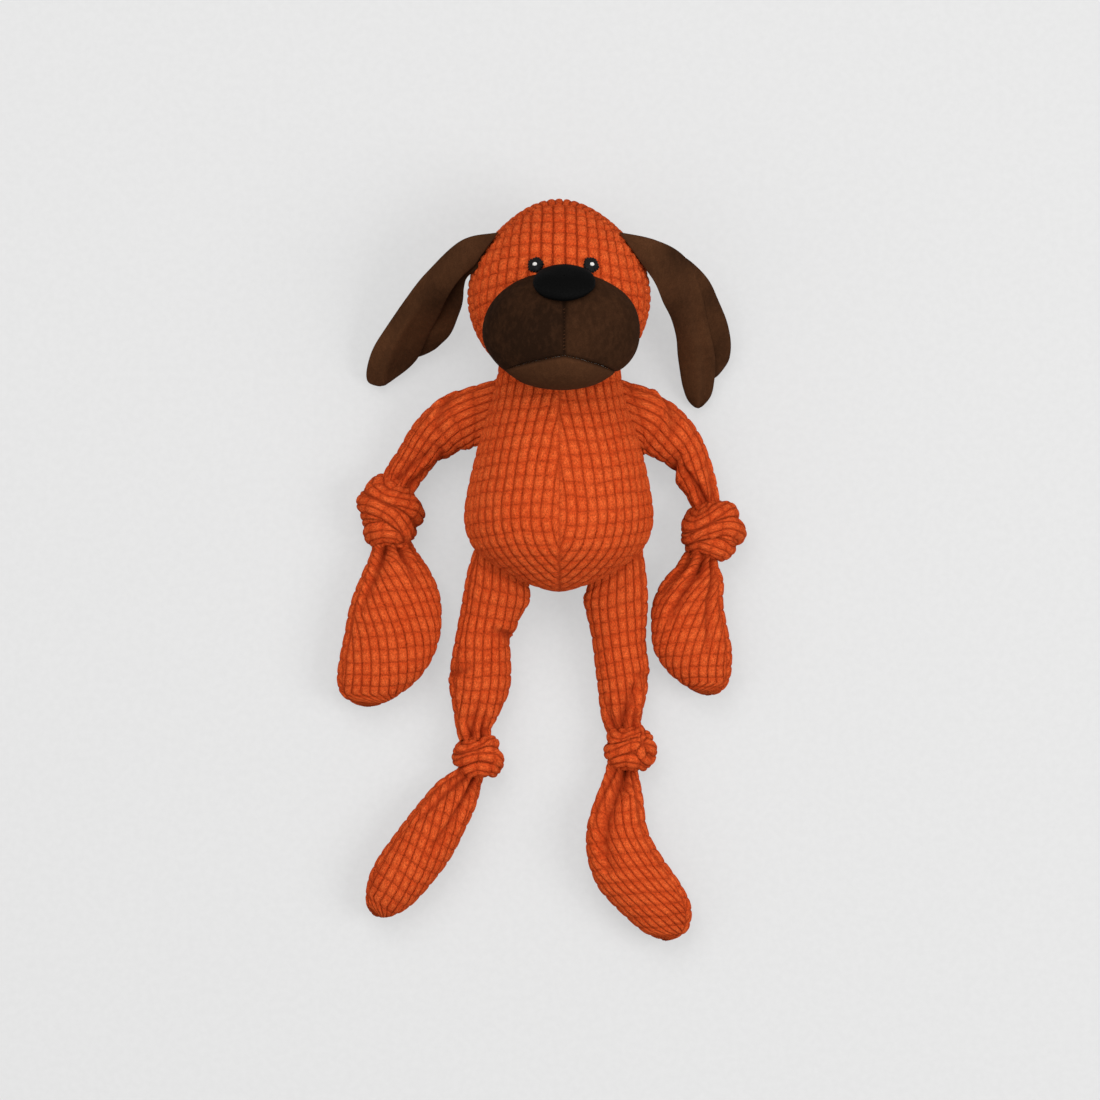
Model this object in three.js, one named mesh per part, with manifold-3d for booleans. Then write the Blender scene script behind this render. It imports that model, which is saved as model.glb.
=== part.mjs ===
// Plush dog toy lying on its back: corduroy skins over polyester filling, knotted limbs,
// velour ears and snout, and a squeaker in the belly.
// Millimetres. +X runs across the toy, +Y towards its head, +Z up from the floor to its face.
import * as THREE from 'three';
import Module from 'manifold-3d';
import { mergeVertices } from 'three/addons/utils/BufferGeometryUtils.js';

const wasm = await Module();
wasm.setup();

// Cloth and fit
const corduroyThickness = 2;
const velourThickness = 1.6;
const fitGap = 0.3;
const cutOverrun = 4;
const restFlatDepth = 0.5;
const leastCore = 0.9;

// Torso, a pear that is widest at the belly
const torsoLength = 116.5;
const torsoWidth = 93.5;
const torsoDepth = 80;
const sideSeamDrop = 8;
// Share of the length from the neck, then shares of the width and of the depth
const torsoShares = [
  [0, 0.62, 0.54],
  [0.09, 0.65, 0.6],
  [0.2, 0.71, 0.7],
  [0.403, 0.87, 0.88],
  [0.661, 1, 1],
  [0.79, 0.95, 0.95],
  [0.87, 0.78, 0.8],
  [0.936, 0.52, 0.56],
  [0.975, 0.28, 0.32],
  [1, 0.1, 0.12],
];
const bellyShare = 0.661;
const torsoSides = 20;
const torsoSteps = 11;

// Head, a ball with a slightly raised crown
const headWidth = 92;
const crownHeight = 48;
const headAboveNeck = 30;
const faceSeamRise = 15;
const headSides = 20;
const headRows = 12;
const neckDishSides = 44;
const neckDishRows = 26;

// Snout, nose and eyes, whose sizes and places go with the head's width
const snoutShares = { width: 0.848, height: 0.647, depth: 0.543, aside: 0.0141, drop: 0.199, forward: 0.4185 };
const mouthDropShare = 0.1793;
const noseShares = { width: 0.337, height: 0.252, depth: 0.109, aside: 0.0272, rise: 0.0587, forward: 0.6033 };
const noseTilt = 42;
const eyeAsideShares = { left: -0.126, right: 0.172 };
const eyeRiseShare = 0.152;
const snoutWidth = snoutShares.width * headWidth;
const snoutHeight = snoutShares.height * headWidth;
const snoutDepth = snoutShares.depth * headWidth;
const snoutAside = snoutShares.aside * headWidth;
const snoutDrop = snoutShares.drop * headWidth;
const snoutForward = snoutShares.forward * headWidth;
const mouthDrop = mouthDropShare * headWidth;
const noseWidth = noseShares.width * headWidth;
const noseHeight = noseShares.height * headWidth;
const noseDepth = noseShares.depth * headWidth;
const noseAside = noseShares.aside * headWidth;
const noseRise = noseShares.rise * headWidth;
const noseForward = noseShares.forward * headWidth;
const eyeRise = eyeRiseShare * headWidth;
const eyeWidth = 8;
const eyeDepth = 1;
const glintWidth = 2;
const glintDepth = 0.6;

// Ears, each two layers of velour folded over lengthwise
const earRootStand = 1.5;
const earSteps = 7;
const earSides = 8;
const earCupShare = 0.3;

// Root beads, where a limb is sewn into a seam or leaves its knot
const seamBeadRadius = 4;
const seamBeadStand = 3.4;
const neckBeadRadius = 4.2;
const limbSides = 10;
const sleeveSteps = 6;
const pawSteps = 7;
const beadAngles = [22, 50];
const sleeveTurnedShare = 0.5;
const pawTurnedShare = 0.3;

// Knots
const knotSides = 12;
const knotRows = 8;
const knotWrapShare = 0.3;
const knotWrapTilt = 28;
const wrapSides = 6;
const wrapSteps = 14;

// Squeaker
const squeakerWidth = 42;
const squeakerHeight = 22;
const squeakerWall = 1.4;
const squeakerMouthWidth = 8;
// Outline of the bulb from its mouth to its top, as shares of its half width and half height
const bulbShares = [[0, -1], [0.9, -1], [1, -0.75], [1, 0.2], [0.8, 0.8], [0.3, 1], [0, 1]];
const reedLength = 9;
const reedFlangeWidth = 12;
const reedFlangeDepth = 1.2;
const reedBoreWidth = 3;
const roundSides = 14;

// Finishes
const orangeCorduroy = new THREE.MeshStandardMaterial({ color: '#c4501f', roughness: 0.95, metalness: 0 });
const brownVelour = new THREE.MeshStandardMaterial({ color: '#3a2418', roughness: 0.9, metalness: 0 });
const blackSatin = new THREE.MeshStandardMaterial({ color: '#0f1010', roughness: 0.6, metalness: 0 });
const blackThread = new THREE.MeshStandardMaterial({ color: '#141414', roughness: 0.7, metalness: 0 });
const whiteThread = new THREE.MeshStandardMaterial({ color: '#f2f2ee', roughness: 0.7, metalness: 0 });
const polyesterFill = new THREE.MeshStandardMaterial({ color: '#f4f3ef', roughness: 1, metalness: 0 });
const squeakerVinyl = new THREE.MeshStandardMaterial({ color: '#e8e6dc', roughness: 0.45, metalness: 0 });

// Places that follow from the sizes
const torsoMid = torsoDepth / 2 - restFlatDepth;
const torsoTop = torsoLength * bellyShare;
const sideSeamHeight = torsoMid - sideSeamDrop;
const headRadius = headWidth / 2;
const headHeight = headRadius - restFlatDepth;
const headPlace = torsoTop + headAboveNeck;
const crownStretch = crownHeight / headRadius;
const toySpan = (torsoLength + headWidth) * 4;

const upward = new THREE.Vector3(0, 0, 1);
const sideways = new THREE.Vector3(1, 0, 0);

// Turns a closed geometry into a solid that can be cut
function solidOf(geometry) {
  const bare = geometry.clone();
  bare.deleteAttribute('normal');
  bare.deleteAttribute('uv');
  const merged = mergeVertices(bare);
  const vertProperties = new Float32Array(merged.attributes.position.array);
  const triVerts = new Uint32Array(merged.index.array);
  return new wasm.Manifold(new wasm.Mesh({ numProp: 3, vertProperties, triVerts }));
}

// Turns a cut solid back into a named mesh
function meshOf(name, solid, material) {
  const { vertProperties, triVerts, numProp } = solid.getMesh();
  const geometry = new THREE.BufferGeometry();
  const position = new Float32Array((vertProperties.length / numProp) * 3);
  for (let v = 0; v < position.length / 3; v += 1) {
    for (let axis = 0; axis < 3; axis += 1) {
      position[v * 3 + axis] = vertProperties[v * numProp + axis];
    }
  }
  geometry.setAttribute('position', new THREE.BufferAttribute(position, 3));
  geometry.setIndex(new THREE.BufferAttribute(new Uint32Array(triVerts), 1));
  geometry.computeVertexNormals();
  const mesh = new THREE.Mesh(geometry, material);
  mesh.name = name;
  return mesh;
}

// An ellipsoid with its poles along Z
function ellipsoid(halfWidth, halfLength, halfHeight, place, sides, rows) {
  const ball = new THREE.SphereGeometry(1, sides, rows);
  ball.rotateX(Math.PI / 2);
  ball.scale(halfWidth, halfLength, halfHeight);
  ball.translate(place.x, place.y, place.z);
  return solidOf(ball);
}

// A box between two corners
function block(low, high) {
  const size = new THREE.Vector3().subVectors(high, low);
  const centre = new THREE.Vector3().addVectors(low, high).multiplyScalar(0.5);
  const box = new THREE.BoxGeometry(size.x, size.y, size.z);
  box.translate(centre.x, centre.y, centre.z);
  return solidOf(box);
}

// A round rod about a line through a place
function rod(radius, length, direction, place) {
  const bar = new THREE.CylinderGeometry(radius, radius, length, roundSides);
  bar.applyQuaternion(new THREE.Quaternion().setFromUnitVectors(new THREE.Vector3(0, 1, 0), direction));
  bar.translate(place.x, place.y, place.z);
  return solidOf(bar);
}

const farBelow = new THREE.Vector3(-toySpan, -toySpan, -toySpan);
const underFloor = block(farBelow, new THREE.Vector3(toySpan, toySpan, 0));

// The half of space on the positive side of a level on one axis
function beyond(axis, level) {
  const low = farBelow.clone();
  low[axis] = level;
  return block(low, new THREE.Vector3(toySpan, toySpan, toySpan));
}

// The half of space on the negative side of a level on one axis
function before(axis, level) {
  const high = new THREE.Vector3(toySpan, toySpan, toySpan);
  high[axis] = level;
  return block(farBelow, high);
}

// Level direction square to a line's run
function levelAcross(along) {
  return new THREE.Vector3(-along.y, along.x, 0).normalize();
}

// Rings along a smooth line through rows of centre, half width and half thickness. The first ring lies
// across a given direction, and the rings turn square to the line by the given share of its length.
function ringsAlong(rows, steps, startAcross, turnedShare) {
  const line = new THREE.CatmullRomCurve3(rows.map((row) => row.centre));
  const sizes = rows.map((row) => new THREE.Vector3(row.halfWidth, row.halfThickness, 0));
  const sizeLine = new THREE.CatmullRomCurve3(sizes);
  const hand = Math.sign(levelAcross(line.getTangent(0)).dot(startAcross));
  const rings = [];
  for (let step = 0; step <= steps; step += 1) {
    const share = step / steps;
    const along = line.getTangent(share);
    const size = sizeLine.getPoint(share);
    const square = levelAcross(along).multiplyScalar(hand);
    const across = startAcross.clone().lerp(square, Math.min(1, share / turnedShare)).normalize();
    const up = new THREE.Vector3().crossVectors(across, along).normalize();
    if (up.z < 0) {
      up.negate();
    }
    const centre = line.getPoint(share);
    rings.push({
      centre, along, across, up, halfWidth: size.x, halfThickness: size.y, cup: 0, belowShare: 1,
    });
  }
  return rings;
}

// Rings of a half round bead that closes the first ring about its own across line
function beadRings(first, radius) {
  const back = new THREE.Vector3().crossVectors(first.across, first.up).normalize();
  if (back.dot(first.along) > 0) {
    back.negate();
  }
  const beads = [];
  for (const angle of beadAngles) {
    const turn = THREE.MathUtils.degToRad(angle);
    const centre = first.centre.clone().addScaledVector(back, radius * Math.cos(turn));
    beads.push({ ...first, centre, halfThickness: radius * Math.sin(turn) });
  }
  return { beads, back };
}

// A closed form through rings, with flat ends
function ringForm(rings, sides) {
  const position = [];
  for (const ring of rings) {
    for (let side = 0; side < sides; side += 1) {
      const turn = (side / sides) * Math.PI * 2;
      const across = Math.cos(turn);
      const below = Math.sin(turn) < 0 ? ring.belowShare : 1;
      const rise = Math.sin(turn) * ring.halfThickness * below - across * across * ring.cup;
      const point = ring.centre.clone();
      point.addScaledVector(ring.across, across * ring.halfWidth);
      point.addScaledVector(ring.up, rise);
      position.push(point.x, point.y, point.z);
    }
  }
  const index = [];
  for (let ring = 0; ring + 1 < rings.length; ring += 1) {
    for (let side = 0; side < sides; side += 1) {
      const next = (side + 1) % sides;
      const a = ring * sides + side;
      const b = ring * sides + next;
      const c = a + sides;
      const d = b + sides;
      index.push(a, b, d, a, d, c);
    }
  }
  for (const [ring, flip] of [[0, true], [rings.length - 1, false]]) {
    const hub = position.length / 3;
    const { centre, up, cup } = rings[ring];
    const middle = centre.clone().addScaledVector(up, -cup / 2);
    position.push(middle.x, middle.y, middle.z);
    for (let side = 0; side < sides; side += 1) {
      const a = ring * sides + side;
      const b = ring * sides + ((side + 1) % sides);
      index.push(...(flip ? [hub, b, a] : [hub, a, b]));
    }
  }
  const geometry = new THREE.BufferGeometry();
  geometry.setAttribute('position', new THREE.Float32BufferAttribute(position, 3));
  geometry.setIndex(index);
  const solid = solidOf(geometry);
  if (solid.volume() < 0) {
    geometry.index.array.reverse();
    return solidOf(geometry);
  }
  return solid;
}

// The same rings drawn in by a thickness, without the ends where nothing would be left
function drawnIn(rings, thickness) {
  return rings
    .map((ring) => ({
      ...ring,
      halfWidth: ring.halfWidth - thickness,
      halfThickness: ring.halfThickness - thickness,
    }))
    .filter((ring) => Math.min(ring.halfWidth, ring.halfThickness) > leastCore);
}

// Torso rings from the neck to the tip between the legs
function torsoRings() {
  const rows = torsoShares.map(([lengthShare, widthShare, depthShare]) => ({
    centre: new THREE.Vector3(0, torsoTop - lengthShare * torsoLength, torsoMid),
    halfWidth: (widthShare * torsoWidth) / 2,
    halfThickness: (depthShare * torsoDepth) / 2,
  }));
  return ringsAlong(rows, torsoSteps, sideways, 1);
}

// Place and direction of the torso's side seam at a share of its length from the neck
function sideSeamAt(share, side) {
  const y = torsoTop - share * torsoLength;
  const rings = torsoRings();
  const upper = rings.findLastIndex((ring) => ring.centre.y >= y);
  const ends = [rings[upper], rings[upper + 1]].map((ring) => {
    const drop = Math.min(1, sideSeamDrop / ring.halfThickness);
    return new THREE.Vector3(side * ring.halfWidth * Math.sqrt(1 - drop * drop), ring.centre.y, sideSeamHeight);
  });
  const part = (ends[0].y - y) / (ends[0].y - ends[1].y);
  const place = ends[0].clone().lerp(ends[1], part);
  const direction = ends[1].clone().sub(ends[0]).normalize();
  const outward = new THREE.Vector3(-direction.y, direction.x, 0).multiplyScalar(side).normalize();
  place.addScaledVector(outward, seamBeadStand);
  return { place, direction, outward };
}

// Limbs. Rows of a sleeve give, as shares of its reach, how far out and down from the root, then the share
// of the drop to the floor, the share of the seam's length and the share of the thickness.
// Rows of a paw start at its knot, as shares of its length, then of its width and its thickness.
const limbs = [
  {
    name: 'arm_left', end: 'paw', side: -1, rootShare: 0.251, seamLength: 38, reach: 68, thickness: 23,
    sleeveShares: [
      [0, 0, 0, 1, 0.35], [0.24, 0.06, 0.35, 0.84, 0.7], [0.43, 0.2, 0.75, 0.66, 1],
      [0.58, 0.37, 1, 0.52, 0.92], [0.66, 0.5, 1, 0.44, 0.8], [0.69, 0.64, 1, 0.36, 0.7],
    ],
    knotOutShare: 0.69, knotDownShare: 0.71,
    knotWidth: 33, knotLength: 37, knotHeight: 31,
    neckInShare: 0.13, neckDownShare: 0.5,
    pawLength: 76, pawWidth: 48, pawThickness: 31, slantOut: 0, slantDown: 1,
    pawShares: [
      [0, 0, 0.6, 0.27], [0, 0.1, 0.72, 0.5], [0.007, 0.22, 0.86, 0.8], [0.026, 0.41, 0.97, 1],
      [0.053, 0.605, 1, 1], [0.118, 0.8, 0.9, 0.9], [0.17, 0.92, 0.66, 0.66], [0.21, 0.99, 0.28, 0.3],
    ],
  },
  {
    name: 'arm_right', end: 'paw', side: 1, rootShare: 0.256, seamLength: 38, reach: 66, thickness: 23,
    sleeveShares: [
      [0, 0, 0, 1, 0.35], [0.2, 0.09, 0.35, 0.84, 0.7], [0.36, 0.24, 0.75, 0.66, 1],
      [0.47, 0.42, 1, 0.52, 0.92], [0.53, 0.56, 1, 0.44, 0.8], [0.57, 0.7, 1, 0.36, 0.7],
    ],
    knotOutShare: 0.59, knotDownShare: 0.85,
    knotWidth: 33, knotLength: 34, knotHeight: 31,
    neckInShare: 0.28, neckDownShare: 0.43,
    pawLength: 71, pawWidth: 39, pawThickness: 31, slantOut: 0, slantDown: 1,
    pawShares: [
      [0, 0, 0.7, 0.27], [-0.012, 0.1, 0.82, 0.5], [-0.015, 0.22, 0.92, 0.8], [-0.005, 0.41, 0.99, 1],
      [0.01, 0.605, 1, 1], [0.04, 0.79, 0.88, 0.9], [0.06, 0.91, 0.66, 0.66], [0.065, 0.98, 0.28, 0.3],
    ],
  },
  {
    name: 'leg_left', end: 'foot', side: -1, rootShare: 0.905, seamLength: 31, reach: 90, thickness: 26,
    sleeveShares: [
      [0, 0, 0, 1, 0.31], [0.03, 0.16, 0.4, 1.02, 0.66], [0.05, 0.36, 0.8, 0.95, 1],
      [0.07, 0.6, 1, 0.98, 1], [0.095, 0.78, 1, 0.72, 0.8], [0.1, 0.92, 1, 0.5, 0.62],
    ],
    knotOutShare: 0.085, knotDownShare: 1,
    knotWidth: 26.5, knotLength: 25, knotHeight: 26,
    neckInShare: -0.24, neckDownShare: 0.47,
    pawLength: 81, pawWidth: 32, pawThickness: 30, slantOut: 0.6, slantDown: 0.8,
    pawShares: [
      [0, 0, 0.5, 0.28], [0.07, 0.1, 0.7, 0.55], [0.148, 0.204, 0.88, 0.86], [0.327, 0.45, 1, 1],
      [0.44, 0.64, 0.93, 0.93], [0.51, 0.76, 0.66, 0.66], [0.555, 0.822, 0.28, 0.3],
    ],
  },
  {
    name: 'leg_right', end: 'foot', side: 1, rootShare: 0.905, seamLength: 31, reach: 88, thickness: 26,
    sleeveShares: [
      [0, 0, 0, 1, 0.31], [-0.01, 0.16, 0.4, 0.98, 0.66], [-0.02, 0.34, 0.8, 0.86, 1],
      [0, 0.6, 1, 0.84, 1], [0, 0.78, 1, 0.68, 0.8], [0.02, 0.92, 1, 0.5, 0.62],
    ],
    knotOutShare: 0.035, knotDownShare: 0.975,
    knotWidth: 26.5, knotLength: 25, knotHeight: 26,
    neckInShare: 0.15, neckDownShare: 0.5,
    pawLength: 84, pawWidth: 38, pawThickness: 30, slantOut: 0, slantDown: 1,
    pawShares: [
      [0, 0, 0.42, 0.28], [-0.012, 0.08, 0.55, 0.55], [-0.03, 0.18, 0.74, 0.86], [0, 0.4, 0.92, 1],
      [0.077, 0.577, 1, 1], [0.16, 0.744, 0.93, 0.93], [0.21, 0.87, 0.66, 0.66], [0.24, 0.94, 0.28, 0.3],
    ],
  },
];

// A drawn overhand knot: a core with one turn of the tube wrapped round it
function knotForm(limb, place, extra) {
  const halfWidth = limb.knotWidth / 2;
  const halfLength = limb.knotLength / 2;
  const halfHeight = limb.knotHeight / 2;
  const core = ellipsoid(halfWidth + extra, halfLength + extra, halfHeight + extra, place, knotSides, knotRows);
  const tube = (knotWrapShare * limb.knotLength) / 2;
  const wrap = new THREE.TorusGeometry(1, (tube + extra) / halfWidth, wrapSides, wrapSteps);
  wrap.rotateX(Math.PI / 2);
  wrap.scale(halfWidth - tube / 2, halfWidth, halfHeight - tube / 2);
  wrap.rotateZ(THREE.MathUtils.degToRad(knotWrapTilt) * limb.side);
  wrap.translate(place.x, place.y, place.z);
  return core.add(solidOf(wrap));
}

function makeLimb(limb) {
  const root = sideSeamAt(limb.rootShare, limb.side);
  const seat = new THREE.Vector3(root.place.x, root.place.y, 0);
  const knotPlace = new THREE.Vector3(
    limb.side * limb.knotOutShare * limb.reach,
    -limb.knotDownShare * limb.reach,
    limb.knotHeight / 2 - restFlatDepth,
  );
  const knotCut = knotForm(limb, knotPlace, fitGap);

  const sleeveRows = limb.sleeveShares.map(([out, down, drop, width, thick]) => ({
    centre: new THREE.Vector3(
      limb.side * out * limb.reach,
      -down * limb.reach,
      sideSeamHeight + drop * (knotPlace.z - sideSeamHeight),
    ),
    halfWidth: (width * limb.seamLength) / 2,
    halfThickness: (thick * limb.thickness) / 2,
  }));
  sleeveRows[0].halfThickness = seamBeadRadius;
  const last = sleeveRows.length - 1;
  const runOut = new THREE.Vector3().subVectors(sleeveRows[last].centre, sleeveRows[last - 1].centre);
  const sleeve = ringsAlong(sleeveRows, sleeveSteps, root.direction, sleeveTurnedShare);
  const { beads } = beadRings(sleeve[0], seamBeadRadius);
  const sleeveOuter = ringForm([...beads, ...sleeve], limbSides);
  const openEnd = { ...sleeve[sleeve.length - 1] };
  openEnd.centre = openEnd.centre.clone().add(runOut);
  const sleeveHollow = ringForm(drawnIn([...sleeve.slice(1), openEnd], corduroyThickness), limbSides);
  const sleeveFill = ringForm(drawnIn(sleeve.slice(1), corduroyThickness + fitGap), limbSides);

  const neckPlace = new THREE.Vector3(
    knotPlace.x - limb.side * limb.neckInShare * limb.knotWidth,
    knotPlace.y - limb.neckDownShare * limb.knotLength - neckBeadRadius / 2,
    knotPlace.z,
  );
  const pawHeight = limb.pawThickness / 2 - restFlatDepth;
  const pawRows = limb.pawShares.map(([out, down, width, thick], row) => ({
    centre: new THREE.Vector3(
      neckPlace.x + limb.side * out * limb.pawLength,
      neckPlace.y - down * limb.pawLength,
      row === 0 ? neckPlace.z : pawHeight,
    ),
    halfWidth: (width * limb.pawWidth) / 2,
    halfThickness: (thick * limb.pawThickness) / 2,
  }));
  pawRows[0].halfThickness = neckBeadRadius;
  const slant = Math.hypot(limb.slantOut, limb.slantDown);
  const neckAcross = new THREE.Vector3(limb.slantDown / slant, (limb.side * limb.slantOut) / slant, 0);
  const paw = ringsAlong(pawRows, pawSteps, neckAcross, pawTurnedShare);
  const neck = beadRings(paw[0], neckBeadRadius);
  const pawOuter = ringForm([...neck.beads, ...paw], limbSides);
  const mouth = { ...paw[0] };
  mouth.centre = paw[0].centre.clone().addScaledVector(neck.back, cutOverrun * 2);
  const pawHollow = ringForm(drawnIn([mouth, ...paw], corduroyThickness), limbSides);
  const pawFill = ringForm(drawnIn(paw.slice(1), corduroyThickness + fitGap), limbSides);

  const pocketLength = paw[0].halfWidth * 2 + cutOverrun;
  const neckPocket = rod(neckBeadRadius + fitGap, pocketLength, neckAcross, neckPlace);
  const group = new THREE.Group();
  group.position.copy(seat);
  group.add(
    meshOf(`${limb.name}_sleeve`, sleeveOuter.subtract(sleeveHollow).subtract(knotCut), orangeCorduroy),
    meshOf(`${limb.name}_filling`, sleeveFill.subtract(knotCut), polyesterFill),
    meshOf(`${limb.name}_knot`, knotForm(limb, knotPlace, 0).subtract(neckPocket).subtract(underFloor), orangeCorduroy),
    meshOf(`${limb.name}_${limb.end}`, pawOuter.subtract(pawHollow).subtract(underFloor), orangeCorduroy),
    meshOf(`${limb.name}_${limb.end}_filling`, pawFill, polyesterFill),
  );
  const seamGroove = rod(seamBeadRadius + fitGap, limb.seamLength + cutOverrun, root.direction, root.place);
  const neckWorld = neckPlace.clone().add(seat);
  return { name: limb.name, group, seamGroove, root, neckWorld, neckAcross };
}

const madeLimbs = limbs.map(makeLimb);

// Torso: two front panels and a back panel round two halves of filling
function makeTorso() {
  const rings = torsoRings();
  const headBall = ellipsoid(
    headRadius + fitGap, headRadius + fitGap, headRadius + fitGap,
    new THREE.Vector3(0, headPlace, headHeight), neckDishSides, neckDishRows,
  );
  let outer = ringForm(rings, torsoSides).subtract(headBall).subtract(underFloor);
  for (const limb of madeLimbs) {
    outer = outer.subtract(limb.seamGroove);
  }
  const neckRing = { ...rings[0] };
  neckRing.centre = neckRing.centre.clone();
  neckRing.centre.y += cutOverrun;
  const skin = outer.subtract(ringForm(drawnIn([neckRing, ...rings], corduroyThickness), torsoSides));
  const front = skin.intersect(beyond('z', sideSeamHeight + fitGap / 2));
  const back = skin.intersect(before('z', sideSeamHeight - fitGap / 2));

  const squeakerPlace = new THREE.Vector3(0, 0, torsoMid);
  const pocket = squeakerRoom().translate(squeakerPlace.toArray());
  const filling = ringForm(drawnIn(rings, corduroyThickness + fitGap), torsoSides)
    .subtract(headBall)
    .subtract(pocket);
  const group = new THREE.Group();
  group.add(
    meshOf('torso_front_left', front.intersect(before('x', -fitGap / 2)), orangeCorduroy),
    meshOf('torso_front_right', front.intersect(beyond('x', fitGap / 2)), orangeCorduroy),
    meshOf('torso_back', back, orangeCorduroy),
    meshOf('torso_filling_front', filling.intersect(beyond('z', torsoMid + fitGap / 2)), polyesterFill),
    meshOf('torso_filling_back', filling.intersect(before('z', torsoMid - fitGap / 2)), polyesterFill),
  );
  for (const mesh of makeSqueaker()) {
    mesh.position.copy(squeakerPlace);
    group.add(mesh);
  }
  return group;
}

// A form turned about Z from points of radius and height
function turnedForm(points) {
  const turned = new THREE.LatheGeometry(points.map(([across, up]) => new THREE.Vector2(across, up)), roundSides);
  turned.rotateX(Math.PI / 2);
  return solidOf(turned);
}

// The squeaker bulb's rounded outline, grown by an amount
function bulbForm(extra) {
  const radius = squeakerWidth / 2 + extra;
  const half = squeakerHeight / 2 + extra;
  return turnedForm(bulbShares.map(([across, up]) => [across * radius, up * half]));
}

// The room that the squeaker takes up in the filling
function squeakerRoom() {
  const low = -squeakerHeight / 2 - reedFlangeDepth - fitGap * 2;
  const flangeRadius = reedFlangeWidth / 2 + fitGap;
  return bulbForm(fitGap).add(turnedForm([[0, low], [flangeRadius, low], [flangeRadius, 0], [0, 0]]));
}

// Squeaker: a blown vinyl bulb with a reed in its mouth
function makeSqueaker() {
  const half = squeakerHeight / 2;
  const mouth = rod(squeakerMouthWidth / 2, squeakerWall * 4, upward, new THREE.Vector3(0, 0, -half));
  const stemRadius = squeakerMouthWidth / 2 - fitGap;
  const boreRadius = reedBoreWidth / 2;
  const flangeRadius = reedFlangeWidth / 2;
  const flangeTop = -half - fitGap;
  const flangeLow = flangeTop - reedFlangeDepth;
  const stemTop = flangeTop + reedLength;
  const reed = turnedForm([
    [boreRadius, flangeLow], [flangeRadius, flangeLow], [flangeRadius, flangeTop], [stemRadius, flangeTop],
    [stemRadius, stemTop], [boreRadius, stemTop], [boreRadius, flangeLow],
  ]);
  return [
    meshOf('squeaker_bulb', bulbForm(0).subtract(bulbForm(-squeakerWall)).subtract(mouth), squeakerVinyl),
    meshOf('squeaker_reed', reed, squeakerVinyl),
  ];
}

// Ears. Rows give places in millimetre sizes of the ear as shares: out from the root, down along the toy and
// down to the floor, as shares of the ear's length, then the share of its width.
const ears = [
  {
    name: 'ear_left', side: -1, length: 86, width: 29, rootLength: 22, thickness: 3.6,
    rootOutShare: 0.4076, rootUpShare: 0.2228, rootTurn: 31,
    shares: [
      [0, 0, 0, 0.76], [0.17, 0.08, 0.07, 0.72], [0.33, 0.25, 0.26, 0.95],
      [0.47, 0.44, 0.46, 1], [0.585, 0.62, 0.6, 0.78], [0.63, 0.74, 0.655, 0.3],
    ],
  },
  {
    name: 'ear_right', side: 1, length: 86, width: 27, rootLength: 20, thickness: 3.6,
    rootOutShare: 0.4185, rootUpShare: 0.2228, rootTurn: 33,
    shares: [
      [0, 0, 0, 0.76], [0.17, 0.07, 0.07, 0.74], [0.3, 0.23, 0.25, 0.85],
      [0.37, 0.45, 0.43, 0.98], [0.41, 0.66, 0.57, 1], [0.385, 0.84, 0.64, 0.7], [0.37, 0.92, 0.655, 0.3],
    ],
  },
];

// Head ball with its crown raised, grown by an amount, in the head's own place
function headForm(extra) {
  const radius = headRadius + extra;
  const ball = new THREE.SphereGeometry(radius, headSides, headRows);
  ball.rotateX(Math.PI / 2);
  const points = ball.attributes.position;
  for (let v = 0; v < points.count; v += 1) {
    if (points.getY(v) > 0) {
      points.setY(v, points.getY(v) * crownStretch);
    }
  }
  ball.translate(0, 0, headHeight);
  return solidOf(ball);
}

// Height of the head's front at a place across and up from its middle
function headFront(x, y) {
  const stretched = y > 0 ? y / crownStretch : y;
  return headHeight + Math.sqrt(headRadius * headRadius - x * x - stretched * stretched);
}

function snoutForm(extra, sides, rows) {
  const place = new THREE.Vector3(snoutAside, -snoutDrop, headHeight + snoutForward);
  return ellipsoid(
    snoutWidth / 2 + extra, snoutHeight / 2 + extra, snoutDepth / 2 + extra, place, sides, rows,
  );
}

function earRoot(ear) {
  const x = ear.side * ear.rootOutShare * headWidth;
  const y = ear.rootUpShare * headWidth;
  const surface = new THREE.Vector3(x, y, headFront(x, y));
  const normal = surface.clone().sub(new THREE.Vector3(0, 0, headHeight)).normalize();
  const place = surface.addScaledVector(normal, earRootStand);
  const turn = THREE.MathUtils.degToRad(ear.rootTurn);
  const direction = new THREE.Vector3(ear.side * Math.sin(turn), -Math.cos(turn), 0);
  direction.addScaledVector(normal, -direction.dot(normal)).normalize();
  return { place, direction, normal };
}

function makeEar(ear) {
  const root = earRoot(ear);
  const rows = ear.shares.map(([out, down, drop, width], row) => ({
    centre: new THREE.Vector3(
      root.place.x + ear.side * out * ear.length,
      root.place.y - down * ear.length,
      root.place.z - drop * ear.length,
    ),
    halfWidth: row === 0 ? ear.rootLength / 2 : (width * ear.width) / 2,
    halfThickness: ear.thickness / 2,
  }));
  const rings = ringsAlong(rows, earSteps, root.direction, 1).map((ring, step) => ({
    ...ring,
    cup: earCupShare * ring.halfWidth * Math.sin((Math.PI * step) / earSteps),
  }));
  const layerThickness = (ear.thickness - fitGap) / 2;
  // A layer is flat on the side that faces the other one
  function layer(face) {
    return ringForm(rings.map((ring) => ({
      ...ring,
      centre: ring.centre.clone().addScaledVector(ring.up, (face * fitGap) / 2),
      up: ring.up.clone().multiplyScalar(face),
      cup: ring.cup * face,
      halfThickness: layerThickness,
      belowShare: 0,
    })), earSides);
  }
  return { root, front: layer(1), back: layer(-1) };
}

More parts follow.
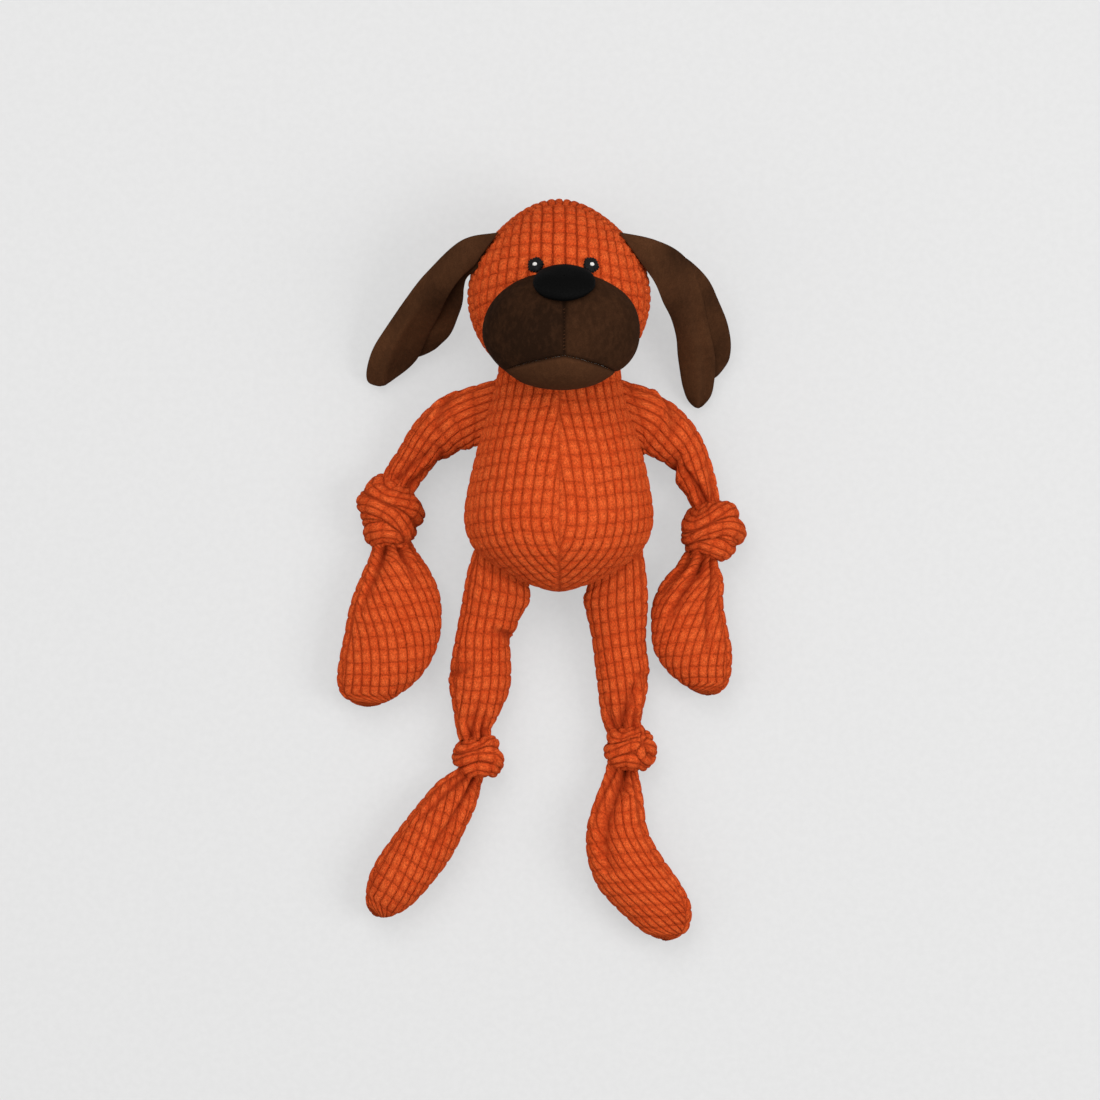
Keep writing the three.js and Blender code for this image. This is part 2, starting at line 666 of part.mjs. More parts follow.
function makeHead() {
  const group = new THREE.Group();
  group.position.set(0, headPlace, 0);
  const madeEars = ears.map((ear) => ({ ear, ...makeEar(ear) }));
  let skin = headForm(0).subtract(underFloor).subtract(headForm(-corduroyThickness));
  for (const made of madeEars) {
    const length = made.ear.rootLength + cutOverrun;
    skin = skin.subtract(rod(made.ear.thickness / 2 + fitGap, length, made.root.direction, made.root.place));
  }
  const seamHeight = headHeight + faceSeamRise;
  const snoutSkin = snoutForm(0, headSides, headRows)
    .subtract(headForm(fitGap))
    .subtract(snoutForm(-velourThickness, headSides, headRows));
  const cheeks = snoutSkin.intersect(beyond('y', -snoutDrop - mouthDrop + fitGap / 2));
  const noseCut = snoutForm(fitGap, headSides, headRows).add(headForm(fitGap));
  const nosePlace = new THREE.Vector3(noseAside, noseRise, headHeight + noseForward);
  const origin = new THREE.Vector3();
  const nose = ellipsoid(noseWidth / 2, noseHeight / 2, noseDepth / 2, origin, roundSides, headRows)
    .rotate([-noseTilt, 0, 0])
    .translate(nosePlace.toArray())
    .subtract(noseCut);
  group.add(
    meshOf('head_front', skin.intersect(beyond('z', seamHeight + fitGap / 2)), orangeCorduroy),
    meshOf('head_back', skin.intersect(before('z', seamHeight - fitGap / 2)), orangeCorduroy),
    meshOf('head_filling', headForm(-corduroyThickness - fitGap), polyesterFill),
    meshOf('snout_cheek_left', cheeks.intersect(before('x', snoutAside - fitGap / 2)), brownVelour),
    meshOf('snout_cheek_right', cheeks.intersect(beyond('x', snoutAside + fitGap / 2)), brownVelour),
    meshOf('snout_chin', snoutSkin.intersect(before('y', -snoutDrop - mouthDrop - fitGap / 2)), brownVelour),
    meshOf(
      'snout_filling',
      snoutForm(-velourThickness - fitGap, headSides, headRows).subtract(headForm(fitGap)),
      polyesterFill,
    ),
    meshOf('nose', nose, blackSatin),
  );
  for (const [name, share] of Object.entries(eyeAsideShares)) {
    const x = share * headWidth;
    const surface = new THREE.Vector3(x, eyeRise, headFront(x, eyeRise));
    const normal = surface.clone().sub(new THREE.Vector3(0, 0, headHeight)).normalize();
    const bulge = (eyeWidth * eyeWidth) / (8 * headRadius);
    const eyePlace = surface.clone().addScaledVector(normal, fitGap + bulge + eyeDepth / 2);
    const glintPlace = eyePlace.clone().addScaledVector(normal, eyeDepth / 2 + fitGap + glintDepth / 2);
    group.add(
      meshOf(`eye_${name}`, rod(eyeWidth / 2, eyeDepth, normal, eyePlace).subtract(noseCut), blackThread),
      meshOf(`eye_glint_${name}`, rod(glintWidth / 2, glintDepth, normal, glintPlace), whiteThread),
    );
  }
  for (const { ear, front, back } of madeEars) {
    group.add(meshOf(`${ear.name}_front`, front, brownVelour), meshOf(`${ear.name}_back`, back, brownVelour));
  }
  return { group, madeEars };
}

const toy = new THREE.Group();
const head = makeHead();
toy.add(makeTorso(), head.group, ...madeLimbs.map((limb) => limb.group));

export default toy;
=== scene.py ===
import math

import bmesh
import bpy
import numpy as np
from bpy.props import FloatProperty, FloatVectorProperty, PointerProperty
from bpy.types import Operator, Panel, PropertyGroup
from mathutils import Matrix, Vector


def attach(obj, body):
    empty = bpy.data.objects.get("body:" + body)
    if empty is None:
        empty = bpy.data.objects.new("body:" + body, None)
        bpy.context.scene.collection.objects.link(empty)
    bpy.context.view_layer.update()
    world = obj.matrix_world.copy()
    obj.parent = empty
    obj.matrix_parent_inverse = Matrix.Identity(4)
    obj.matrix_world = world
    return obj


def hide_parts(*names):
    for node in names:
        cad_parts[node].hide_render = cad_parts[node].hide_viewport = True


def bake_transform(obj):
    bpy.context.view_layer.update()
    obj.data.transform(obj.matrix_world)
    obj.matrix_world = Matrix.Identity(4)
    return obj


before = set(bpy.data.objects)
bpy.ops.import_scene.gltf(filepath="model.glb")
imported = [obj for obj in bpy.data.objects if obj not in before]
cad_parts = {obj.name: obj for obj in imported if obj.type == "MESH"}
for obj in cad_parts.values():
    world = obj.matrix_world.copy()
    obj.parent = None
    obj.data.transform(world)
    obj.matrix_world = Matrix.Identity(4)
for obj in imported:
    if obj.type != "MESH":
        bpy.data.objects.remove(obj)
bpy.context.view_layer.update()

bl_info = {
    "name": "Plush Dog Toy",
    "version": (1, 0, 0),
    "blender": (4, 5, 0),
    "location": "3D View > Sidebar > Plush Dog",
    "description": "Makes the cloth skins, knots, ears and face of a knotted corduroy dog toy",
    "category": "Object",
}

# Shapes are written in millimetres and made in metres
MM = 0.001

# Torso, from the neck down to the crotch: height on the toy, half width, half depth
TORSO_ROWS = (
    (77, 29, 21.6), (66.5, 30.4, 24), (53.7, 33.2, 28), (30, 40.7, 35.2), (0, 46.75, 40), (-15, 44.4, 38),
    (-24.4, 36.5, 32), (-32, 24.3, 22.4), (-36.6, 13, 12.8), (-39.5, 4.7, 4.8), (-40.2, 0.2, 0.2),
)
TORSO_MIDDLE = 39.5
SIDE_SEAM = 31.5
FURTHEST_SEAM = -0.98
TORSO_LIFT = 0.5
TORSO_END_FULLNESS = 1.1

# Head, a ball with a raised crown, and its snout, nose and eyes
HEAD_PLACE = (0, 107, 45.5)
HEAD_RADIUS = 46
HEAD_CLOTH = 6
CROWN = 48 / 46
TOP_DRAW = 0.13
FACE_SEAM = 15
SNOUT_PLACE = (1.3, 88.7, 84)
SNOUT_HALF = (39, 29.75, 25)
SNOUT_CLOTH = 4.5
CHEEK_WRAP = 2.45
CHIN_WRAP = 3.13
MOUTH_HEIGHT = 75.6
NOSE_PLACE = (2.5, 112.1, 101)
NOSE_HALF = (15.5, 11.6, 5)
NOSE_TILT = 42
EYES = {"left": (-11.6, 121), "right": (15.8, 121)}
EYE_RADIUS = 4
EYE_HALF_DEPTH = 1.5
EYE_LIFT = 0.2
GLINT_RADIUS = 1.15
GLINT_SHAPE = 0.85
GLINT_HALF_DEPTH = 0.55
GLINT_LIFT = 1.6

# A skin is trimmed where it lies this deep in the head
TRIM_DEPTH = {"torso": 1.5, "snout": 2}

# Turns in radians at which the rows of a round form start and stop, just short of its poles
POLE_GAP = 0.02
FAR_POLE = 3.12
FINE_POLES = (0.01, 3.13)

# Limbs. Rows give place x, y, z, then width and thickness, from the root to the knot and from the knot on
LIMBS = {
    "arm_left": {
        "end": "paw", "start": (-37, 49, 31.5), "stop": (-57, 40.5, 24),
        "root_across": (-0.294, -0.956, 0), "paw_across": (1, 0, 0), "wrist": (-79.7, -20, 15),
        "sleeve": (
            (-33, 49.5, 31.5, 37, 14), (-45, 45.8, 28, 32, 16), (-55, 42.1, 24, 28, 19),
            (-63.8, 35, 19.5, 24, 21), (-72, 25.5, 16, 19.5, 20), (-79, 15.5, 15, 18.5, 17),
            (-82.5, 5, 15, 14, 13),
        ),
        "knot": (-84.5, -1, 15, 16.75, 20.75, 15.5),
        "paw": (
            (-83.5, -15, 15, 18, 12), (-82.5, -21.5, 15, 24, 18), (-81.4, -29, 15.5, 33, 24),
            (-81.2, -39.6, 15.5, 42, 28.5), (-81.8, -51, 15.5, 47, 31), (-83.1, -62.2, 15.5, 48.6, 31.5),
            (-86.6, -73.6, 15.5, 47, 30.5), (-91.1, -84.9, 15, 40.8, 26), (-94.2, -92.4, 14.5, 30, 18.5),
            (-95, -97, 14, 15, 10), (-95.2, -99, 14, 0.6, 0.6),
        ),
        "seam_turn": -62, "folds": 8, "slants": (0.45, 0.1),
        "sleeve_creases": (
            (6, -25, 3.2, 30, 2.6, 3.4), (6, 25, 3.8, 75, 2.2, 2.6), (3.4, 100, 2.7, 10, 3, 1.5),
            (1.6, -75, 2.6, 5, 3, 1.6),
        ),
        "paw_creases": (
            (0.6, -30, 4, -52, 2.4, 3), (0.6, 12, 3.2, 30, 2, 2), (0.6, 55, 3, 70, 1.8, 2),
        ),
    },
    "arm_right": {
        "end": "paw", "start": (37, 49, 31.5), "stop": (55, 40.5, 24),
        "root_across": (-0.294, 0.956, 0), "paw_across": (1, 0, 0), "wrist": (67, -24.6, 15),
        "sleeve": (
            (32, 49, 31.5, 38, 14), (43, 45, 28.5, 33, 16), (50.5, 40.5, 24, 29, 18),
            (61, 31, 18.5, 24, 21), (68.5, 17, 15.5, 19, 19), (72, 8, 15, 16, 16), (74, 1, 15, 13, 13),
        ),
        "knot": (77, -10, 15, 16.2, 16.8, 15.5),
        "paw": (
            (71, -21, 15, 16, 12), (69.4, -28, 15, 22, 18), (67.1, -36, 15.5, 31.4, 25),
            (64.7, -47, 15.5, 35.8, 29), (65.4, -58.4, 15.5, 38.7, 30.5), (67.1, -69.8, 15.5, 39.8, 30),
            (70, -80, 15, 33, 26), (72.7, -86.5, 14.5, 24, 19), (74.5, -91, 14, 13, 11),
            (75, -93.3, 14, 0.6, 0.6),
        ),
        "seam_turn": 62, "folds": 7, "slants": (-0.1, -0.5),
        "sleeve_creases": (
            (6, 14, 3.4, -24, 2.8, 4.2), (3.8, -105, 3.1, -5, 3, 3.2), (6, 55, 3.6, 58, 2, 2.4),
            (1.4, 80, 2.4, 0, 3, 1.8),
        ),
        "paw_creases": (
            (0.6, 10, 4, -38, 2.6, 4.6), (0.6, 45, 5.2, 20, 2.4, 3), (0.6, -35, 2.6, -62, 2, 2.2),
        ),
    },
    "leg_left": {
        "end": "foot", "start": (-31, -31, 31.5), "stop": (-35, -46, 24),
        "root_across": (0.805, -0.594, 0), "paw_across": (0.8, -0.6, 0), "wrist": (-45, -135, 12.5),
        "sleeve": (
            (-28, -24, 31.5, 33, 14), (-30.5, -38, 26, 35, 19), (-34, -50, 20, 31, 23),
            (-37.5, -63, 16, 28.5, 26), (-39.75, -86, 13, 31.5, 26), (-41.5, -100, 13, 25, 21),
            (-42.5, -108, 13, 19, 17), (-42, -115, 13, 15, 13),
        ),
        "knot": (-40.5, -123.5, 13, 13.25, 12.5, 13),
        "paw": (
            (-42.4, -130, 13, 11, 9), (-46, -135.6, 13, 15.5, 13), (-51.6, -143.5, 14, 23.5, 21),
            (-58.3, -153.5, 15, 27.5, 27), (-64.8, -163.5, 15, 29.5, 29.5), (-72.1, -174, 15, 30, 29.5),
            (-79, -183, 15, 29.5, 28), (-85, -191, 14.5, 26, 24), (-89.8, -197.5, 14, 18.5, 16),
            (-92.6, -201.3, 14, 10, 8), (-93.6, -203.2, 14, 0.6, 0.6),
        ),
        "seam_turn": -58, "folds": 6, "slants": (0.3, 0.12),
        "sleeve_creases": (
            (7, -12, 4.6, 8, 2.2, 2.6), (7, 35, 5, 28, 1.8, 2.2), (2.8, 80, 2.6, 10, 3, 1.8),
            (3.9, -70, 3.7, -10, 2.6, 1.2),
        ),
        "paw_creases": (
            (0.6, -18, 3.8, -44, 2.2, 2.6), (0.6, 22, 4.4, 16, 2.2, 2.8), (0.6, 60, 3.2, 62, 1.8, 2),
        ),
    },
    "leg_right": {
        "end": "foot", "start": (31, -31, 31.5), "stop": (31, -46, 24),
        "root_across": (0.805, 0.594, 0), "paw_across": (1, 0, 0), "wrist": (30, -131.5, 12.5),
        "sleeve": (
            (28, -24, 31.5, 33, 14), (28.25, -38, 26, 33.5, 19), (29, -50, 20, 31, 23),
            (30.2, -66, 15.5, 27, 26), (32, -84, 13, 26.5, 26), (31.5, -97, 13, 23, 21),
            (31.25, -104, 13, 20, 17), (32, -111, 13, 16, 13),
        ),
        "knot": (35.5, -119.5, 13, 13.25, 13, 13),
        "paw": (
            (33.4, -126.5, 13, 13, 9), (32.4, -133.5, 13, 17, 14), (30.2, -145.7, 14.5, 25, 24),
            (29, -159.7, 15, 31, 29), (32.7, -173.7, 15, 38, 30), (40, -187.7, 15, 42.6, 30),
            (46, -197, 15, 40, 28), (50.6, -205.5, 14.5, 31.5, 22), (53, -212, 14, 20, 14),
            (53.8, -216.4, 14, 0.6, 0.6),
        ),
        "seam_turn": 60, "folds": 6, "slants": (0.05, 0.28),
        "sleeve_creases": (
            (7, 4, 4.2, 36, 4, 6), (7, -48, 4.8, -34, 2, 2.2), (7, 52, 5.2, 44, 1.8, 2),
            (4, 105, 3.9, 30, 2.6, 1),
        ),
        "paw_creases": (
            (0.4, -8, 4.6, -40, 4.4, 6), (0.6, 40, 3.4, 55, 1.8, 2.2), (0.6, -45, 3, -50, 1.8, 1.8),
        ),
    },
}

# Cloth of each part, as shares of the cloth's set sizes: wale width, wale depth and rib depth
CLOTH_SHARES = {"torso": (1, 1.3, 0.9), "head": (1.22, 1.6, 1.7), "limb": (0.9, 1, 1)}

# Width of the knots' wales, and the length of their ribs as a share of the set length
KNOT_WALE = 4.9
KNOT_RIB = 1.3

# Corduroy cells: how far wales and ribs wander, how far the ribs of neighbouring wales stand apart, how much
# a cell's corners are cut back, and how far its crown sinks
WALE_DRIFT = 0.07
RIB_DRIFT = 0.1
RIB_STAGGER = 0.26
STAGGER_SPREAD = 12.9
CELL_CORNER = 0.5
CELL_SINK = 1.05

# Reach of a sewn seam into the cloth beside it, and how much painted shade lies along it
SEAM_REACH = 1.8
SEAM_SHADE = 0.5

# Lowest height of the cloth over the floor
FLOOR_CLEARANCE = 0.15

# Slow unevenness of stuffed cloth: its height, or its drift in cells for wales and ribs, the width of one
# swelling, and the seed of its pattern
DENTS = {
    "wales": (WALE_DRIFT, 13, 31),
    "ribs": (RIB_DRIFT, 17, 32),
    "torso": (0.7, 46, 5),
    "head": (0.5, 50, 11),
    "snout": (0.5, 22, 3),
    "nose": (0.3, 11, 8),
    "ear_front": (0.7, 24, 21),
    "ear_back": (0.7, 24, 22),
    "ear_pile": (0.45, 26, 24),
    "limb": (0.6, 30, 0),
    "knot_wales": (0.15, 7, 41),
    "knot_ribs": (0.2, 8, 42),
    "knot": (1.1, 9, 43),
}

# How light each velour piece is: the ear leaves and the chin lighter than the cheeks, the right cheek a
# little lighter than the left, and the back leaf of an ear darker than its front leaf as painted shade under
# it. An ear also grows lighter toward its tip.
VELOUR_LIGHTNESS = {"left": -0.1, "right": 0.1, "chin": 0.6, "front": 0.5, "back": 0.3}
TIP_LIGHTNESS = 0.3

# Cloth drawn into a knot: the pleats' depth, the girth of cloth gathered there as a share of the paw's girth,
# and how far from the knot the pleats die away, in the sleeve and in the paw
PLEAT_DEPTH = 2.2
GATHERED_GIRTH = 0.62
SLEEVE_SLACK = 0.35
PAW_SLACK = 2.2

# Limbs: how much of a limb's slant its sleeve has, two distances before and after the wrist from which points
# are worked out but not used, and the size of the filling as a share of the cloth's
SLEEVE_SLANT = 0.2
WRIST_BEND = (3, 7)
CORE_SHARE = 0.6

# Cloth wraps of the knots, each a band round a pole. The pole's turn from the X axis and its tilt off the
# floor are in degrees, the band's offset from the knot's middle and its half width in radians. The last
# number says how high the wrap stands.
WRAPS = {
    "arm_left": ((60, 4, 0.48, 0.44, 0.98), (46, -4, -0.2, 0.42, 1.05), (88, 6, -0.8, 0.38, 1)),
    "arm_right": ((106, 4, 0.52, 0.42, 0.98), (97, -4, -0.12, 0.38, 1.03), (80, 6, -0.7, 0.4, 1.01)),
    "leg_left": ((102, 6, 0.54, 0.38, 0.97), (86, -5, -0.06, 0.38, 1.04), (97, 6, -0.68, 0.38, 0.98)),
    "leg_right": (
        (88, 5, 0.64, 0.36, 0.98), (93, -4, 0.02, 0.36, 1.03), (88, 6, -0.62, 0.36, 0.98),
        (16, 10, 0.74, 0.26, 1.05),
    ),
}

# Ears. Rows give the outer edge x, y and the inner edge x, y from the root to the tip, then the height there.
# The back leaf lies under the front leaf, and the crease is a share of the width from the outer edge.
EARS = {
    "ear_left": {
        "front": (
            (-30, 138, -42.5, 121, 59.5), (-48.5, 134, -50.5, 113, 57), (-65.5, 119, -56, 104.5, 46),
            (-76.5, 105.5, -60, 97, 36), (-87.5, 90, -64.5, 89.5, 25), (-93.5, 80, -68, 82, 18),
            (-96.5, 70, -71, 76, 12), (-96, 64, -76, 70.5, 8), (-92.5, 60, -82, 65, 5.5),
        ),
        "back": (
            (-33, 136, -41, 119.5, 57), (-50, 131, -46, 115, 52.5), (-64, 117, -48, 105, 42),
            (-73, 103, -50, 98, 31.5), (-81, 91, -54.5, 88, 21), (-83, 83, -60, 82, 14),
            (-80, 77, -67, 76, 9),
        ),
        "crease_share": 0.42, "crease_depth": -2.2,
        "joint_start": (-35, 131, 63), "joint_stop": (-46, 125, 58),
    },
    "ear_right": {
        "front": (
            (30, 138, 42.5, 120.5, 59), (48, 134, 47.5, 113, 56), (63.5, 125, 51.5, 104, 46),
            (71, 108.5, 55.5, 96, 36), (74, 94, 58.5, 86, 26), (77.5, 80, 59.5, 76, 17),
            (78.5, 70, 61.5, 64, 11), (77, 58.5, 64, 56, 7), (74, 51.5, 66, 50.5, 5.5),
        ),
        "back": (
            (33, 135.5, 43.5, 121, 56.5), (50, 132, 49.5, 114, 52), (66, 123.5, 54, 105, 42.5),
            (76, 112, 58, 96, 33), (82.5, 99, 61, 87, 23.5), (86, 86, 63, 80, 15), (85.5, 76, 66, 72.5, 9),
            (82, 66.5, 72, 65, 6.5),
        ),
        "crease_share": 0.3, "crease_depth": 1.6,
        "joint_start": (36, 131, 61), "joint_stop": (46.5, 125, 56),
    },
}

# Thickness of an ear's leaf, and the rise of its arch
EAR_THICKNESS = 2.8
EAR_ARCH = {"front": 3.6, "back": 1.2}

# Threads: colour, colour where lit, strands across the weave, roughness, specular level
THREADS = {
    "nose_satin": ((0.0008, 0.0008, 0.0008), (0.0018, 0.0018, 0.0018), 1.6, 0.6, 0.04),
    "black_thread": ((0.002, 0.002, 0.002), (0.008, 0.008, 0.008), 44.0, 0.55, 0.12),
    "white_thread": ((0.55, 0.53, 0.5), (0.9, 0.89, 0.86), 3.0, 0.55, 0.4),
}
BROWN_THREAD = (2.0, 0.8, 0.05)

# Loose stuffs: light colour, shaded colour, tangle scale, roughness, bump depth
LOOSE_STUFFS = {
    "filling": ((0.88, 0.87, 0.84), (0.62, 0.61, 0.58), 260.0, 0.95, 0.002),
    "squeaker_vinyl": ((0.8, 0.78, 0.72), (0.7, 0.67, 0.6), 90.0, 0.5, 0.0003),
}

# Stage, in metres and watts. Each lamp has its place, its width and its power, and faces the toy.
FLOOR_REACH = 6.0
FLOOR_DROP = 0.0004
FLOOR_GLOW = 2.3
WORLD_LIGHT = 0.5
LAMPS = {
    "soft_box_above": ((-0.4, 1.0, 2.0), 1.6, 29),
    "soft_box_right": ((1.4, -0.2, 1.6), 1.2, 27),
    "soft_box_left": ((-1.6, -0.3, 1.4), 1.2, 7),
}
SENSOR_WIDTH = 36
WIDTH_SEEN = 0.55
CAMERA_DISTANCE = 6
CAMERA_AIM = (-0.0045, -0.02, 0.025)

UPWARD = np.array([0.0, 0.0, 1.0])


# Shape helpers

def curve_through(values, places):
    """A smooth curve through rows of given values, read at any place counted in rows."""
    values = np.asarray(values, float)
    slopes = np.gradient(values, axis=0)
    places = np.asarray(places, float)
    first = np.clip(np.floor(places).astype(int), 0, len(values) - 2)
    share = (places - first)[..., None]
    low, high = values[first], values[first + 1]
    rise = share * share * (3 - 2 * share)
    lean_low = share * (1 - share) ** 2
    lean_high = share * share * (share - 1)
    return low * (1 - rise) + high * rise + slopes[first] * lean_low + slopes[first + 1] * lean_high


def smooth_step(values, start, stop):
    """0 before start, 1 after stop and a smooth rise between them."""
    share = np.clip((values - start) / (stop - start), 0, 1)
    return share * share * (3 - 2 * share)


def unit(vectors):
    """Vectors of length 1."""
    length = np.linalg.norm(vectors, axis=-1, keepdims=True)
    return vectors / np.maximum(length, 1e-9)


def running_length(points, axis):
    """Length along the rows or columns of a grid of points, from its first one."""
    steps = np.linalg.norm(np.diff(points, axis=axis), axis=2)
    start = np.zeros_like(np.take(steps, [0], axis=axis))
    return np.concatenate([start, np.cumsum(steps, axis=axis)], axis=axis)


def soft_dents(points, part, shift=0):
    """Slow hollows and swellings of one part. A shift gives another pattern of the same kind."""
    height, width, seed = DENTS[part]
    waves = 5
    narrowest, widest = 0.8, 1.6
    any_start = 6.3
    draws = np.random.default_rng(seed + shift)
    total = np.zeros(points.shape[:-1])
    for _ in range(waves):
        way = unit(draws.normal(size=3))
        length = width * draws.uniform(narrowest, widest)
        total += np.sin(points @ way * (2 * math.pi / length) + draws.uniform(0, any_start))
    return height * (total / waves)


class Cloth:
    """A grid of points on a form, with the cloth's own measures at each point."""

    def __init__(self, form, along, turn):
        small = 1e-3
        self.points = form(along, turn)
        across = form(along, turn + small) - form(along, turn - small)
        onward = form(along + small, turn) - form(along - small, turn)
        self.normals = unit(np.cross(onward, across))
        from_edge = running_length(self.points, 1)
        whole = from_edge[:, -1:]
        self.across = from_edge - whole / 2
        self.edge = np.minimum(from_edge, whole - from_edge)
        middle = self.points[:, [self.points.shape[1] // 2]]
        self.along = running_length(middle, 0) * np.ones_like(self.across)
        # Painted shade, 0 to 1, in seams, creases, pleat hollows and where knot wraps meet
        self.recess_shade = np.zeros_like(self.across)
        self.relief = np.zeros_like(self.across)

    def raise_ribs(self, sizes, part, narrowed=1):
        """Raise the pillows of waffle corduroy, sink them into the sewn edges and paint shade along those
        edges.
        """
        wale_share, wale_depth_share, rib_depth_share = CLOTH_SHARES[part]
        wale = sizes["wale"] * wale_share
        self.across = self.across * narrowed / wale + soft_dents(self.points, "wales")
        self.along = self.along / sizes["rib"] + soft_dents(self.points, "ribs")
        self.along += RIB_STAGGER * np.sin(STAGGER_SPREAD * np.floor(self.across + 0.5))
        depths = sizes["wale_depth"] * wale_depth_share, sizes["rib_depth"] * rib_depth_share
        self.relief += pillows(self.across, self.along, *depths)
        sewn = 1 - smooth_step(self.edge, 0, SEAM_REACH)
        self.relief = self.relief * (1 - sewn) - sizes["seam_depth"] * sewn
        self.recess_shade = np.maximum(self.recess_shade, SEAM_SHADE * sewn ** 2)

    def raised(self):
        """Points with their relief, kept off the floor."""
        moved = self.points + self.normals * self.relief[..., None]
        moved[..., 2] = np.maximum(moved[..., 2], FLOOR_CLEARANCE)
        return moved


def pillows(across, along, wale_depth, rib_depth):
    """Height of the cloth's raised cells: deep grooves between the wales, fine ones across them."""
    wale = np.abs(2 * np.mod(across + 0.5, 1) - 1)
    rib = np.abs(2 * np.mod(along, 1) - 1)
    ridge = np.sqrt(np.maximum(1 - wale ** 3 * (1 + CELL_CORNER * rib ** 4), 0))
    return wale_depth * (ridge - CELL_SINK) - rib_depth * rib ** 5 * ridge


def even_steps(length, sizes):
    """Number of grid points along a length."""
    fewest = 6
    return max(fewest, int(round(length / sizes["grid"])))


def crease(cloth, path, half_width, depth):
    """Press a crease into the cloth, with a lip that laps over on its right side, and paint shade in it.
    It is deepest at the path's start and dies away to its end."""
    far_off = 1e9
    nearest = np.full(cloth.points.shape[:-1], far_off)
    fading = np.zeros_like(nearest)
    lapped = np.zeros_like(nearest)
    for number, (start, stop) in enumerate(zip(path[:-1], path[1:])):
        run = stop - start
        share = np.clip((cloth.points - start) @ run / (run @ run), 0, 1)
        offset = cloth.points - start - share[..., None] * run
        away = np.linalg.norm(offset, axis=-1)
        aside = np.einsum("...k,...k", np.cross(run, cloth.normals), offset)
        closer = away < nearest
        lapped = np.where(closer, np.sign(aside), lapped)
        nearest = np.where(closer, away, nearest)
        fading = np.where(closer, 1 - (number + share) / (len(path) - 1), fading)
    steep_side, slack_side = 0.5, 1.5
    lip_height, lip_place = 0.35, 1.2
    shade, shade_reach = 0.95, 0.8
    fade_power, wall_power = 0.35, 1.5
    strength = fading ** fade_power
    reach = np.where(lapped > 0, steep_side, slack_side) * half_width
    cloth.relief -= depth * strength * np.exp(-(nearest / reach) ** wall_power)
    lip = np.exp(-((nearest - lip_place * half_width) / half_width) ** 2)
    cloth.relief += lip_height * depth * strength * lip * (lapped > 0)
    # Painted shade in the crease's hollow
    cloth.recess_shade = np.maximum(cloth.recess_shade, shade * strength * np.exp(-(nearest / (shade_reach * reach)) ** 2))


def mesh_piece(name, cloths, material, closed=()):
    """One object from its cloth grids. The first and last columns of a closed grid are the same points."""
    points, faces, weave = [], [], []
    for number, cloth in enumerate(cloths):
        grid = cloth.raised() * MM
        rows, columns = grid.shape[:2]
        start = len(points)
        joined = number in closed
        width = columns - 1 if joined else columns
        points.extend(grid[:, :width].reshape(-1, 3).tolist())
        # The weave's third number carries the painted recess shade
        marks = np.stack([cloth.across, cloth.along, cloth.recess_shade], axis=-1)
        weave.extend(marks[:, :width].reshape(-1, 3).tolist())
        for row in range(rows - 1):
            for column in range(columns - 1):
                after = (column + 1) % width
                here = start + row * width
                faces.append((here + column, here + width + column, here + width + after, here + after))
    mesh = bpy.data.meshes.new(name)
    mesh.from_pydata(points, [], faces)
    marks = mesh.attributes.new("weave", "FLOAT_VECTOR", "POINT")
    marks.data.foreach_set("vector", np.asarray(weave, np.float32).ravel())
    mesh.polygons.foreach_set("use_smooth", [True] * len(mesh.polygons))
    mesh.materials.append(material)
    mesh.update()
    piece = bpy.data.objects.new(name, mesh)
    bpy.context.scene.collection.objects.link(piece)
    return piece


def trim_inside(piece, centre, radius):
    """Take away the part of a skin that lies hidden inside a ball."""
    whole = bmesh.new()
    whole.from_mesh(piece.data)
    hidden = [v for v in whole.verts if (v.co / MM - Vector(centre)).length < radius]
    bmesh.ops.delete(whole, geom=hidden, context="VERTS")
    whole.to_mesh(piece.data)
    whole.free()


def metres(point):
    """A place in metres."""
    return tuple(value * MM for value in point)


# Finishes

def bare_finish(name):
    """A new material with only its output and its main shader."""
    finish = bpy.data.materials.new(name)
    finish.use_nodes = True
    tree = finish.node_tree
    return finish, tree, tree.nodes["Principled BSDF"]


def put(tree, kind, inputs=None, **settings):
    """A node with its settings and inputs. An input is a number, a colour or another node's socket."""
    node = tree.nodes.new(kind)
    for setting, value in settings.items():
        setattr(node, setting, value)
    for socket, value in (inputs or {}).items():
        if isinstance(value, bpy.types.NodeSocket):
            tree.links.new(value, node.inputs[socket])
        else:
            node.inputs[socket].default_value = value
    return node


def sum_of(tree, operation, *values):
    """The result of one sum."""
    return put(tree, "ShaderNodeMath", dict(enumerate(values)), operation=operation).outputs[0]


def share_between(tree, value, start, stop, low=0.0, high=1.0):
    """A smooth change from low to high while value goes from start to stop."""
    ranges = {"Value": value, "From Min": start, "From Max": stop, "To Min": low, "To Max": high}
    return put(tree, "ShaderNodeMapRange", ranges, interpolation_type="SMOOTHSTEP").outputs["Result"]


def mixed(tree, share, first, second, blend="MIX"):
    """Two colours mixed by a share."""
    node = put(tree, "ShaderNodeMix", data_type="RGBA", blend_type=blend)
    for socket, value in zip((node.inputs[0], node.inputs[6], node.inputs[7]), (share, first, second)):
        if isinstance(value, bpy.types.NodeSocket):
            tree.links.new(value, socket)
        else:
            socket.default_value = value
    return node.outputs[2]


def grain(tree, coordinates, scale, detail=2.0, roughness=0.55):
    """Soft noise between 0 and 1."""
    inputs = {"Vector": coordinates, "Scale": scale, "Detail": detail, "Roughness": roughness}
    return put(tree, "ShaderNodeTexNoise", inputs).outputs["Fac"]


def stretched(tree, coordinates, across, along, deep):
    """Coordinates stretched unevenly, for a grain with a direction."""
    inputs = {0: coordinates, 1: (across, along, deep)}
    return put(tree, "ShaderNodeVectorMath", inputs, operation="MULTIPLY").outputs[0]


def opaque(colour):
    """A colour with its alpha."""
    return (colour[0], colour[1], colour[2], 1.0)


